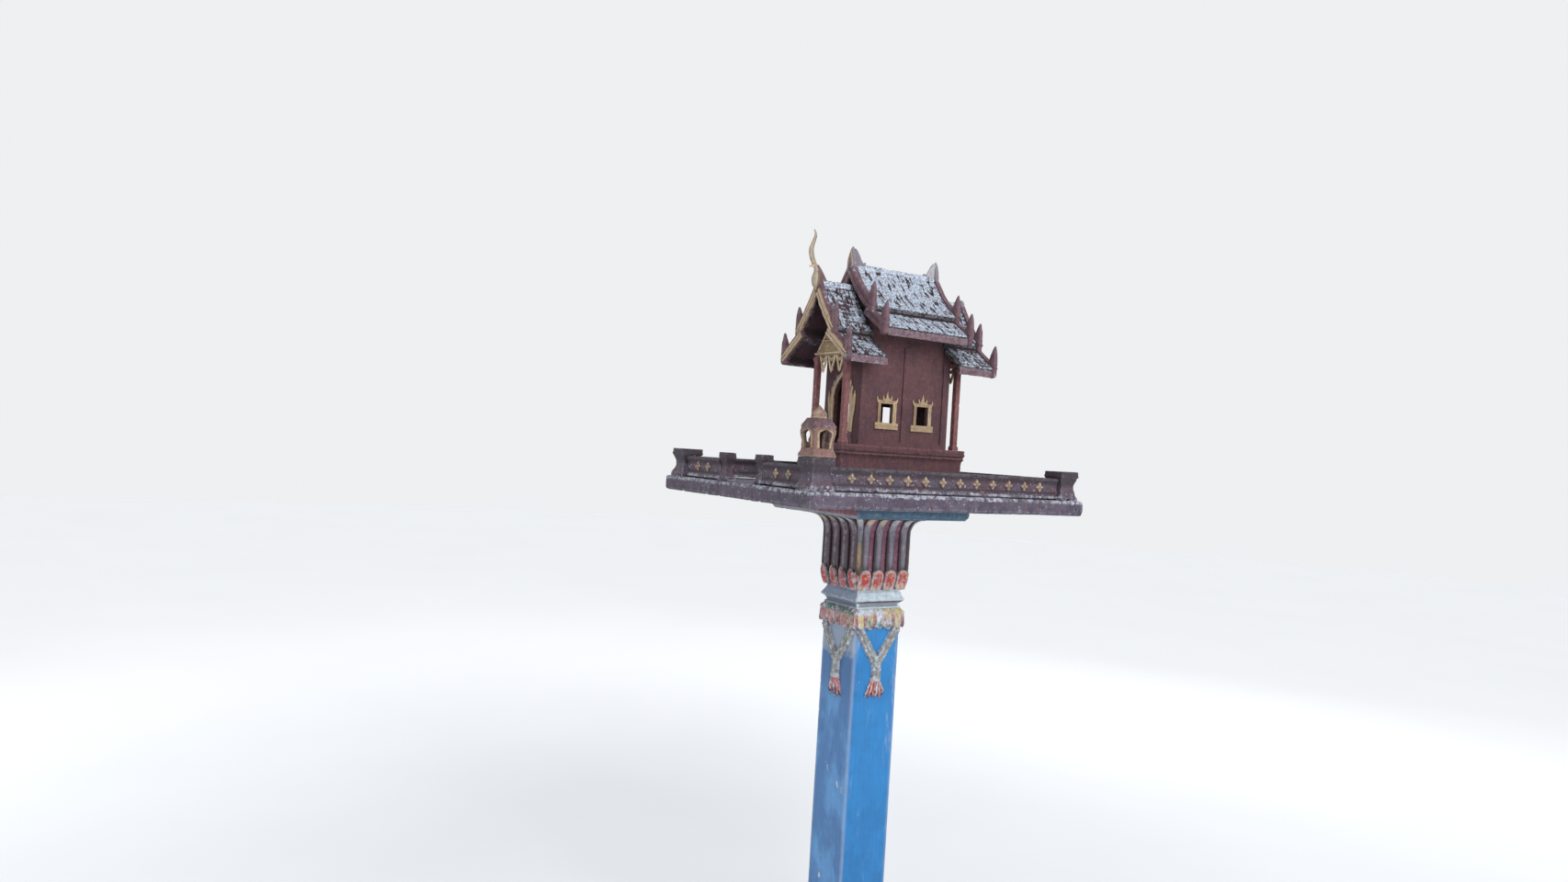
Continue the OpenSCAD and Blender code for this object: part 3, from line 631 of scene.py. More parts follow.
class Nodes:
    """Shorthand for a node tree."""

    def __init__(self, tree: bpy.types.NodeTree) -> None:
        """Takes a tree and empties it."""
        self.tree = tree
        tree.nodes.clear()

    def add(self, kind: str, inputs: dict | None = None, **settings: object) -> bpy.types.Node:
        """A new node.

        Args:
            kind: Type of node.
            inputs: Values or sockets for its inputs.
            **settings: Its own settings.

        Returns:
            The node.
        """
        node = self.tree.nodes.new(kind)
        for key, value in settings.items():
            setattr(node, key, value)
        for key, value in (inputs or {}).items():
            self.feed(node.inputs[key], value)
        return node

    def feed(self, socket: bpy.types.NodeSocket, value: object) -> None:
        """Links a socket to an input, or sets the input's own value.

        Args:
            socket: The input.
            value: A socket, a paint or a value.
        """
        if isinstance(value, bpy.types.NodeSocket):
            self.tree.links.new(value, socket)
        else:
            socket.default_value = value.linear() if isinstance(value, Paint) else value

    def math(self, kind: str, *values: object) -> bpy.types.NodeSocket:
        """One kind of arithmetic on values, from the first to the last.

        Args:
            kind: The arithmetic.
            *values: Numbers or sockets.

        Returns:
            The result.
        """
        total = values[0]
        for value in values[1:]:
            total = self.add("ShaderNodeMath", {0: total, 1: value}, operation=kind).outputs[0]
        return total

    def plus(self, *values: object) -> bpy.types.NodeSocket:
        """Sum of values."""
        return self.math("ADD", *values)

    def less(self, *values: object) -> bpy.types.NodeSocket:
        """A value less other values."""
        return self.math("SUBTRACT", *values)

    def every(self, *masks: object) -> bpy.types.NodeSocket:
        """Product of masks."""
        return self.math("MULTIPLY", *masks)

    def either(self, *masks: object) -> bpy.types.NodeSocket:
        """The largest of masks."""
        return self.math("MAXIMUM", *masks)


class Graph(Nodes):
    """The node tree of one finish, on Object coordinates."""

    def __init__(self, name: str) -> None:
        """Starts a material with a shader and nothing fed to it.

        Args:
            name: Name of the material.
        """
        self.material = bpy.data.materials.new(name)
        self.material.use_nodes = True
        super().__init__(self.material.node_tree)
        self.shader = self.add("ShaderNodeBsdfPrincipled")
        self.add("ShaderNodeOutputMaterial", {0: self.shader.outputs[0]})
        self.where = self.add("ShaderNodeTexCoord").outputs["Object"]
        self.x, self.y, self.z = self.add("ShaderNodeSeparateXYZ", {0: self.where}).outputs
        normal = self.add("ShaderNodeNewGeometry").outputs["Normal"]
        self.upward = self.add("ShaderNodeSeparateXYZ", {0: normal}).outputs[2]
        self.relief = self.attribute("relief", "Fac")

    def attribute(self, name: str, output: str = "Color") -> bpy.types.NodeSocket:
        """An attribute of the piece's own mesh."""
        return self.add("ShaderNodeAttribute", attribute_name=name).outputs[output]

    def noise(
        self, size: float, detail: float, rough: float = 0.6, stretch: Spot = (1, 1, 1), shift: float = 0.0
    ) -> bpy.types.NodeSocket:
        """Noise round 0.5.

        Args:
            size: Size of a blotch in millimetres.
            detail: Octaves of finer noise.
            rough: Strength of the finer noise.
            stretch: Factors on the three axes.
            shift: Distance that picks another part of the pattern.

        Returns:
            The value socket.
        """
        move = {"Vector": self.where, "Location": (shift, shift, shift), "Scale": stretch}
        place = self.add("ShaderNodeMapping", move).outputs[0]
        inputs = {"Vector": place, "Scale": 1000 / size, "Detail": detail, "Roughness": rough}
        return self.add("ShaderNodeTexNoise", inputs).outputs[0]

    def mask(self, value: object, low: float, high: float) -> bpy.types.NodeSocket:
        """Soft step from 0 to 1 as a value goes from low to high."""
        inputs = {"Value": value, "From Min": low, "From Max": high}
        return self.add("ShaderNodeMapRange", inputs, interpolation_type="SMOOTHSTEP").outputs[0]

    def mix(self, share: object, a: object, b: object, blend: str = "MIX") -> bpy.types.NodeSocket:
        """A colour between two colours."""
        return self.add("ShaderNodeMix", {0: share, 6: a, 7: b}, data_type="RGBA",
                        blend_type=blend).outputs[2]

    def shade(self, colour: object, value: object, low: float, high: float) -> bpy.types.NodeSocket:
        """A colour made lighter or darker by noise.

        Args:
            colour: The colour.
            value: The noise.
            low: Factor where the noise is low.
            high: Factor where it is high.

        Returns:
            The shaded colour.
        """
        inputs = {"Value": value, "From Min": 0.3, "From Max": 0.7, "To Min": low, "To Max": high}
        factor = self.add("ShaderNodeMapRange", inputs).outputs[0]
        grey = self.add("ShaderNodeCombineColor", {0: factor, 1: factor, 2: factor}).outputs[0]
        return self.mix(1.0, colour, grey, "MULTIPLY")

    def finish(
        self, colour: object, rough: object, height: object, depth: float, metal: object = 0.0
    ) -> bpy.types.Material:
        """Feeds the shader.

        Args:
            colour: Base colour.
            rough: Roughness.
            height: Height of the fine relief, from 0 to 1.
            depth: What a height of 1 stands for, in millimetres.
            metal: Metallic share.

        Returns:
            The material.
        """
        bump = self.add("ShaderNodeBump", {"Height": height, "Distance": depth * MM,
                                           "Strength": 1.0}).outputs[0]
        for name, value in (("Base Color", colour), ("Roughness", rough), ("Metallic", metal),
                            ("Normal", bump)):
            self.feed(self.shader.inputs[name], value)
        return self.material


@dataclass(frozen=True)
class OldPaint:
    """Paint on cement after years outdoors: two tones, bare edges, dirt, painted shade in the hollows, specks
    and lichen.

    Heights are in metres, sizes of patches in millimetres. With no coat the paints of the mesh show.
    """

    name: str
    coat: Paint | None = None
    second: Paint = Paint.GREY_DARK
    blend: float = 0.5
    bare: Paint = Paint.GREY_PALE
    bare_share: float = 0.3
    # Colour of dirt and soot, and of the painted shade in the hollows.
    dirt_and_shade: Paint = Paint.SOOT
    lichen: float = 0.0
    lichen_low: float = -1.0
    lichen_high: float = 9.0
    speck: Paint | None = None
    speck_share: float = 0.1
    patches: tuple[Paint, ...] = ()
    patch_top: float = 9.0
    patch_size: float = 8.0
    patch_share: float = 0.85
    soot_from: float = 9.0
    rough: float = 0.68
    depth: float = 0.5

    def make(self) -> bpy.types.Material:
        """Builds the material."""
        g = Graph(self.name)
        broad, small, tiny = g.noise(48, 4), g.noise(9, 4, 0.65), g.noise(1.6, 3, 0.7)
        if self.coat is None:
            base = g.attribute("tint")
        else:
            base = g.mix(g.every(g.mask(broad, 0.42, 0.62), self.blend), self.coat, self.second)
        for i, paint in enumerate(self.patches):
            spread = g.mask(g.noise(self.patch_size, 4, 0.65, shift=20.0 + 3 * i), 0.55, 0.61)
            below = g.mask(g.z, self.patch_top + 0.003, self.patch_top - 0.003)
            base = g.mix(g.every(spread, self.patch_share, below), base, paint)
        streak = g.noise(5, 3, 0.6, (1, 1, 0.08), 3.0)
        for value, low, high in ((small, 0.72, 1.2), (tiny, 0.86, 1.12), (streak, 0.88, 1.08)):
            base = g.shade(base, value, low, high)
        edge = g.every(g.mask(g.relief, 0.12, 0.5), g.mask(small, 0.42, 0.56), self.bare_share * 2)
        flake = g.every(g.mask(g.noise(6, 5, 0.7, shift=1.7), 0.6, 0.64), self.bare_share)
        worn = g.either(edge, flake)
        base = g.mix(worn, base, g.shade(self.bare, tiny, 0.75, 1.2))
        if self.speck is not None:
            fleck = g.every(g.mask(g.noise(3.2, 3, 0.6, (1, 1, 0.8), 31.0), 0.6, 0.66),
                            g.mask(g.noise(24, 3, shift=17.0), 0.46, 0.6), self.speck_share * 3)
            base = g.mix(fleck, base, self.speck)
        # Painted shade: the hollows of the relief darken towards the dirt colour, mixed with blotches of real
        # dirt and a soot band.
        hollow = g.mask(g.relief, -0.05, -0.45)
        grime_and_shade = g.either(hollow, g.every(g.mask(g.noise(30, 5, 0.7, shift=5.0), 0.55, 0.72), 0.55))
        high = g.plus(g.z, g.every(small, 0.02))
        soot = g.every(g.mask(high, self.soot_from + 0.006, self.soot_from + 0.016), 0.6)
        base = g.mix(g.either(g.every(grime_and_shade, 0.8), soot), base, self.dirt_and_shade)
        crust: object = 0.0
        if self.lichen > 0:
            up = g.plus(g.every(g.mask(g.upward, 0.1, 0.9), 0.02), g.every(g.mask(g.relief, 0.0, 0.5), 0.09))
            band = g.every(g.mask(g.z, self.lichen_low - 0.006, self.lichen_low + 0.004),
                           g.mask(g.z, self.lichen_high + 0.006, self.lichen_high - 0.004))
            growth = g.plus(g.noise(9, 8, 0.74, shift=2.2), up, g.every(band, 0.17),
                            g.every(g.less(broad, 0.53), 0.45))
            crust = g.mask(growth, 0.84 - self.lichen, 0.94 - self.lichen)
            pale = g.mix(g.mask(g.noise(3.0, 4), 0.4, 0.62), Paint.GREY, Paint.LICHEN)
            base = g.mix(g.every(crust, 0.9), base, pale)
        height = g.less(g.plus(g.every(tiny, 0.45), g.every(small, 0.5)), g.every(worn, 0.35))
        height = g.plus(height, g.every(crust, g.noise(2.4, 4), 1.1))
        return g.finish(base, g.plus(g.every(small, 0.25), self.rough), height, self.depth)


@dataclass(frozen=True)
class PillarPaint:
    """Bright blue paint on the shaft: chalky, greyed on the front, with painted shade that darkens the front
    among and under the garlands, and peeled off near its foot.
    """

    name: str = "shaft_blue"

    def make(self) -> bpy.types.Material:
        """Builds the material."""
        g = Graph(self.name)
        broad, small, tiny = g.noise(120, 4), g.noise(14, 5, 0.65), g.noise(1.8, 3, 0.7)
        brush = g.noise(4, 4, 0.6, (1, 1, 0.05))
        blue = g.mix(g.mask(broad, 0.4, 0.62), Paint.BLUE, Paint.BLUE_DEEP)
        blue = g.shade(g.shade(blue, brush, 0.92, 1.08), small, 0.94, 1.07)
        front = g.mask(g.y, -0.0500, -0.0512)
        dull_and_shade = g.mix(g.mask(g.noise(60, 4, 0.6, (1, 1, 0.5), 4.0), 0.42, 0.6), Paint.BLUE_GREY, Paint.NAVY)
        high = g.plus(g.z, g.every(small, 0.05))
        # Painted shade: from about 0.68 m up, the front turns dark navy among and under the garlands.
        dull_and_shade = g.mix(g.every(g.mask(high, 0.64, 0.72), 0.85), dull_and_shade, Paint.NAVY_DARK)
        dull_and_shade = g.mix(g.mask(high, 0.742, 0.762), dull_and_shade, Paint.SLATE)
        base = g.mix(front, blue, g.shade(g.shade(dull_and_shade, brush, 0.9, 1.1), small, 0.94, 1.07))
        chalk = g.every(g.mask(g.noise(22, 6, 0.7, (1, 1, 0.25), 7.0), 0.56, 0.74), 0.32)
        base = g.mix(chalk, base, Paint.GREY_PALE)
        base = g.mix(g.every(g.mask(g.relief, 0.3, 0.8), 0.25), base, Paint.GREY_PALE)
        broken = g.plus(g.noise(34, 6, 0.62, (1, 1, 0.6), 9.0), g.every(front, 0.03),
                        g.every(g.mask(g.z, 0.34, 0.1), 0.14))
        chips = g.every(g.mask(g.noise(7, 4, 0.6, shift=12.0), 0.7, 0.72), g.mask(g.z, 0.36, 0.2))
        edge = g.every(g.mask(g.relief, 0.3, 0.7), g.mask(small, 0.56, 0.6), g.mask(g.z, 0.3, 0.1))
        peel = g.either(g.mask(broken, 0.7, 0.71), chips, edge)
        plaster = g.shade(g.mix(g.mask(g.noise(20, 4), 0.4, 0.6), Paint.PLASTER, Paint.GREY), tiny, 0.85, 1.1)
        base = g.mix(peel, base, plaster)
        drip = g.every(g.mask(g.noise(7, 4, 0.6, (1, 1, 0.06), 6.0), 0.52, 0.7), g.mask(g.z, 0.45, 0.8), 0.35)
        mud = g.every(g.mask(g.plus(g.z, g.every(small, -0.09)), 0.03, -0.035), 0.8)
        base = g.mix(mud, g.mix(drip, base, Paint.GREY_DARK), Paint.RED_BROWN)
        height = g.less(g.plus(g.every(brush, 0.35), g.every(tiny, 0.2), g.every(small, 0.2)),
                        g.every(peel, 0.8))
        rough = g.plus(g.every(g.either(peel, chalk), 0.35), 0.5)
        return g.finish(base, rough, height, 0.5)


@dataclass(frozen=True)
class Gilding:
    """Faded gold paint over the paints of the mesh, with painted shade that turns the hollows brown, and worn
    through to red.
    """

    name: str = "gold_and_paint"
    metal: float = 0.15

    def make(self) -> bpy.types.Material:
        """Builds the material."""
        g = Graph(self.name)
        small, tiny = g.noise(11, 5, 0.65), g.noise(1.3, 3, 0.7)
        base = g.shade(g.shade(g.attribute("tint"), small, 0.72, 1.22), tiny, 0.85, 1.15)
        # Painted shade: hollows of the carving turn dark brown gold and lose their metal sheen.
        hollow = g.mask(g.plus(g.relief, g.every(g.less(small, 0.5), 0.5)), 0.02, -0.4)
        worn = g.every(g.mask(g.noise(5, 5, 0.7, shift=2.0), 0.58, 0.64), 0.6)
        base = g.mix(worn, base, Paint.RED_BROWN)
        base = g.mix(g.every(hollow, 0.7), base, Paint.GOLD_DARK)
        base = g.mix(g.every(g.mask(g.noise(24, 5, 0.7, shift=8.0), 0.58, 0.76), 0.5), base,
                     Paint.MAROON_DARK)
        metal = g.every(g.less(1.0, g.either(hollow, worn)), self.metal)
        height = g.less(g.plus(g.every(tiny, 0.5), g.every(small, 0.4)), g.every(worn, 0.4))
        return g.finish(base, g.plus(g.every(small, 0.35), 0.32), height, 0.35, metal)


@dataclass(frozen=True)
class LichenTile:
    """Small cement tiles under a crust of pale lichen, with dark slits down the slope."""

    name: str
    cover: float

    def make(self) -> bpy.types.Material:
        """Builds the material."""
        g = Graph(self.name)
        tone = g.attribute("tone", "Fac")
        small, tiny = g.noise(8, 5, 0.7), g.noise(1.7, 4, 0.7)
        dark = g.shade(g.mix(tone, Paint.MAROON_DARK, Paint.SOOT), small, 0.6, 1.3)
        drops = g.mask(g.noise(8.5, 1, 0.4, (0.42, 1.2, 0.36), 3.3), 0.54, 0.64)
        growth = g.plus(g.less(g.noise(14, 8, 0.8, shift=1.1), g.every(drops, 0.24)),
                        g.every(g.relief, 0.12), g.every(g.less(tone, 0.5), 0.05))
        crust = g.mask(growth, 0.86 - self.cover, 0.96 - self.cover)
        pale = g.mix(g.mask(g.noise(4, 6, 0.78, shift=4.0), 0.36, 0.58), Paint.GREY_DARK, Paint.FROST)
        base = g.mix(crust, dark, g.shade(pale, tiny, 0.78, 1.14))
        height = g.plus(g.every(crust, g.noise(2.6, 5, 0.7), 1.2), g.every(tiny, 0.3))
        return g.finish(base, 0.92, height, 0.7)


FINISHES = (
    PillarPaint(),
    OldPaint("garland_grey", depth=0.6, patches=(Paint.GREY, Paint.WHITE)),
    OldPaint("petal_colours", depth=0.6, patches=(Paint.WHITE, Paint.PINK, Paint.GOLD)),
    OldPaint("ring_whitewash", dirt_and_shade=Paint.GREY_DARK),
    OldPaint("capital_paint", bare_share=0.25, speck=Paint.CREAM, speck_share=0.25,
             patches=(Paint.CREAM, Paint.PINK, Paint.GREY), patch_top=0.89),
    OldPaint("abacus_paint", bare=Paint.GREY, bare_share=0.2, lichen=0.02),
    OldPaint("deck_stain", Paint.PLUM, Paint.PLUM_DARK, 0.8, Paint.GREY, 0.15, lichen=0.14,
             lichen_low=1.032, lichen_high=1.05, speck=Paint.LICHEN, speck_share=0.2, depth=0.9,
             patches=(Paint.PLUM_DARK, Paint.MAROON), patch_size=18, patch_share=0.5),
    OldPaint("rail_stain", Paint.PLUM, Paint.MAROON, 0.8, Paint.GREY, 0.2, lichen=0.13,
             lichen_low=1.036, lichen_high=1.05, speck=Paint.LICHEN, speck_share=0.33, depth=0.8,
             patches=(Paint.PLUM_DARK, Paint.SOOT), patch_size=5, patch_share=0.6, soot_from=1.066),
    OldPaint("lantern_clay", bare=Paint.CREAM, bare_share=0.1, speck=Paint.GREY_PALE, speck_share=0.25,
             patches=(Paint.GREY_MID, Paint.GOLD_DARK), patch_size=5, patch_share=0.45),
    OldPaint("wall_red", Paint.WALL, Paint.MAROON_DARK, 0.6, Paint.BRICK, 0.2, speck=Paint.PINK,
             speck_share=0.12),
    OldPaint("column_red", bare=Paint.BRICK, speck=Paint.CREAM, speck_share=0.2),
    OldPaint("board_paint", bare=Paint.MAROON_GREY, bare_share=0.25, lichen=0.01, depth=0.6),
    OldPaint("roof_boards", bare=Paint.GREY, bare_share=0.15, lichen=0.03),
    # Painted shade: the gable walls keep the maroon of the walls but are darkened towards black, as they
    # stand in the shade of the roofs.
    OldPaint("gable_maroon", Paint.MAROON_DARK, Paint.SOOT, 0.6, Paint.RED_BROWN, 0.2),
    Gilding(),
    LichenTile("roof_tile_lichen", 0.5),
    LichenTile("porch_tile_lichen", 0.38),
    LichenTile("ridge_lichen", 0.6),
)


def shown(name: str, data: bpy.types.ID) -> bpy.types.Object:
    """A new object in the scene.

    Args:
        name: Its name.
        data: Its mesh, lamp or camera.

    Returns:
        The object.
    """
    thing = bpy.data.objects.new(name, data)
    bpy.context.scene.collection.objects.link(thing)
    return thing


class Workshop:
    """Makes pieces: mesh, wear, finish and the part it stands for."""

    def __init__(self, frame: dict) -> None:
        """Makes each finish once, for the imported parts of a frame."""
        self.frame = frame
        self.finishes = {finish.name: finish.make() for finish in FINISHES}

    def dress(self, nodes: Sequence[str], finish: str) -> None:
        """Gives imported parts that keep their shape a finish.

        Args:
            nodes: Names of the parts.
            finish: Name of the finish.
        """
        for name in nodes:
            part = self.frame["nodes"][name]
            part.data.materials.clear()
            part.data.materials.append(self.finishes[finish])
            LOG.info("dressed %s in %s", name, finish)

    def mesh(self, name: str, form: Form, weather: Weather | None, blended: bool = False) -> bpy.types.Mesh:
        """A clean and worn mesh in metres, with its paints as the tint attribute.

        Args:
            name: Name of the mesh.
            form: Its surface.
            weather: How far it is worn, or nothing for a crisp one.
            blended: Whether its paints run into each other.

        Returns:
            The mesh.
        """
        mesh = bpy.data.meshes.new(name)
        mesh.from_pydata((np.vstack(form.points) * MM).tolist(), [], form.faces)
        colours = np.array([p.linear() for p in form.paints])
        if blended:
            corner, face = np.array([(v, f) for f, face in enumerate(form.faces) for v in face]).T
            shares = np.bincount(corner, minlength=len(mesh.vertices))
            colours = np.column_stack([np.bincount(corner, colours[face, k], len(shares)) / shares
                                       for k in range(4)])
        tint = mesh.attributes.new("tint", "FLOAT_COLOR", "POINT" if blended else "FACE")
        tint.data.foreach_set("color", colours.ravel())
        b = bmesh.new()
        b.from_mesh(mesh)
        bmesh.ops.remove_doubles(b, verts=b.verts, dist=1e-5)
        bmesh.ops.recalc_face_normals(b, faces=b.faces)
        b.to_mesh(mesh)
        b.free()
        if weather is not None:
            weather.wear(mesh)
        return mesh

    def settle(self, name: str, mesh: bpy.types.Mesh, finish: str, stands_for: Sequence[str],
               crease: float) -> None:
        """Finishes a piece and ties it to the frame.

        Args:
            name: Name of the piece.
            mesh: Its mesh.
            finish: Name of the finish.
            stands_for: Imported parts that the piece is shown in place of.
            crease: Angle in degrees over which an edge stays sharp.
        """
        mesh.shade_smooth()
        mesh.set_sharp_from_angle(angle=math.radians(crease))
        mesh.materials.clear()
        mesh.materials.append(self.finishes[finish])
        thing = shown(name, mesh)
        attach(thing, "root")
        if stands_for:
            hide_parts(*stands_for)
        LOG.info("%s: %d faces in %s", name, len(mesh.polygons), finish)

    def piece(
        self,
        name: str,
        form: Form,
        finish: str,
        slot: str,
        stands_for: Sequence[str],
        weather: Weather,
        crease: float = SHARP,
        blended: bool = False,
    ) -> None:
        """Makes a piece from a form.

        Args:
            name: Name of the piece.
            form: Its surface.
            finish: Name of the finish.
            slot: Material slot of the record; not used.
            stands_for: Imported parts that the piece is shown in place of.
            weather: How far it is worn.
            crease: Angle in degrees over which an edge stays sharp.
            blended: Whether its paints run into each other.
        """
        self.settle(name, self.mesh(name, form, weather, blended), finish, stands_for, crease)

    def tree(self, name: str) -> bpy.types.NodeTree:
        """Tree that puts a copy on each point, turned as the point says and jittered by a seed.

        Args:
            name: Name of the tree.

        Returns:
            The tree.
        """
        n = Nodes(bpy.data.node_groups.new(name, "GeometryNodeTree"))
        for title, kind in (("Places", "Geometry"), ("Copy", "Object"), ("Tilt", "Float"),
                            ("Size Spread", "Float"), ("Seed", "Int"), ("Finish", "Material")):
            n.tree.interface.new_socket(name=title, in_out="INPUT", socket_type="NodeSocket" + kind)
        n.tree.interface.new_socket(name="Copies", in_out="OUTPUT", socket_type="NodeSocketGeometry")
        given = n.add("NodeGroupInput").outputs
        source = n.add("GeometryNodeObjectInfo", {"Object": given["Copy"]})
        turn, size = (n.add("GeometryNodeInputNamedAttribute", {"Name": key}, data_type="FLOAT_VECTOR")
                      for key in ("turn", "size"))
        least, most = (n.add("ShaderNodeVectorMath", {0: (way,) * 3, "Scale": given["Tilt"]},
                             operation="SCALE") for way in (-1, 1))
        tilt = n.add("FunctionNodeRandomValue", {"Min": least.outputs[0], "Max": most.outputs[0],
                                                 "Seed": given["Seed"]}, data_type="FLOAT_VECTOR")
        total = n.add("ShaderNodeVectorMath", {0: turn.outputs["Attribute"], 1: tilt.outputs["Value"]})
        smallest = n.less(1.0, given["Size Spread"])
        swell = n.add("FunctionNodeRandomValue", {2: smallest, 3: 1.0, "Seed": given["Seed"]},
                      data_type="FLOAT")
        scaled = n.add("ShaderNodeVectorMath", {0: size.outputs["Attribute"], "Scale": swell.outputs[1]},
                       operation="SCALE")
        put = n.add("GeometryNodeInstanceOnPoints", {
            "Points": given["Places"], "Instance": source.outputs["Geometry"],
            "Rotation": total.outputs[0], "Scale": scaled.outputs[0]})
        tone = n.add("FunctionNodeRandomValue", data_type="FLOAT")
        store = n.add("GeometryNodeStoreNamedAttribute", {
            "Name": "tone", "Geometry": put.outputs[0], "Value": tone.outputs[1]},
            data_type="FLOAT", domain="INSTANCE")
        real = n.add("GeometryNodeRealizeInstances", {0: store.outputs[0]})
        dress = n.add("GeometryNodeSetMaterial", {"Geometry": real.outputs[0], "Material": given["Finish"]})
        n.add("NodeGroupOutput", {0: dress.outputs[0]})
        return n.tree

    def spread(
        self,
        name: str,
        copy: Form,
        places: Sequence[Place],
        finish: str,
        slot: str,
        tilt: float,
        spread: float,
        seed: int,
        stands_for: Sequence[str] = (),
        weather: Weather | None = None,
    ) -> None:
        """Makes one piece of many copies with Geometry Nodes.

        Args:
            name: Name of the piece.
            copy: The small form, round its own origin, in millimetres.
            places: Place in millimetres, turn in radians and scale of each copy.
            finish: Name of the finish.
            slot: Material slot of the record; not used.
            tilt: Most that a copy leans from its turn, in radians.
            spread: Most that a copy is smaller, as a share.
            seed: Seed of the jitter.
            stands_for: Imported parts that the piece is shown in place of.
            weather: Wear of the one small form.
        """
        one = shown(name + "_one", self.mesh(name + "_one", copy, weather))
        cloud = bpy.data.meshes.new(name + "_places")
        cloud.from_pydata([tuple(p * MM) for p, _, _ in places], [], [])
        for key, k in (("turn", 1), ("size", 2)):
            data = cloud.attributes.new(key, "FLOAT_VECTOR", "POINT")
            data.data.foreach_set("vector", np.array([row[k][:] for row in places]).ravel())
        holder = shown(name + "_holder", cloud)
        modifier = holder.modifiers.new("Copies", "NODES")
        modifier.node_group = self.tree(name + "_tree")
        values = {"Copy": one, "Tilt": tilt, "Size Spread": spread, "Seed": seed,
                  "Finish": self.finishes[finish]}
        for socket in modifier.node_group.interface.items_tree:
            if socket.in_out == "INPUT" and socket.name in values:
                modifier[socket.identifier] = values[socket.name]
        bpy.context.view_layer.update()
        mesh = bpy.data.meshes.new_from_object(holder.evaluated_get(bpy.context.evaluated_depsgraph_get()))
        mesh.name = name
        holder.modifiers.remove(modifier)
        for thing in (one, holder):
            bpy.data.objects.remove(thing)
        self.settle(name, mesh, finish, stands_for, SHARP)


@dataclass
class Assembly:
    """A sub-assembly of the spirit house, which makes its pieces in a workshop."""

    shop: Workshop


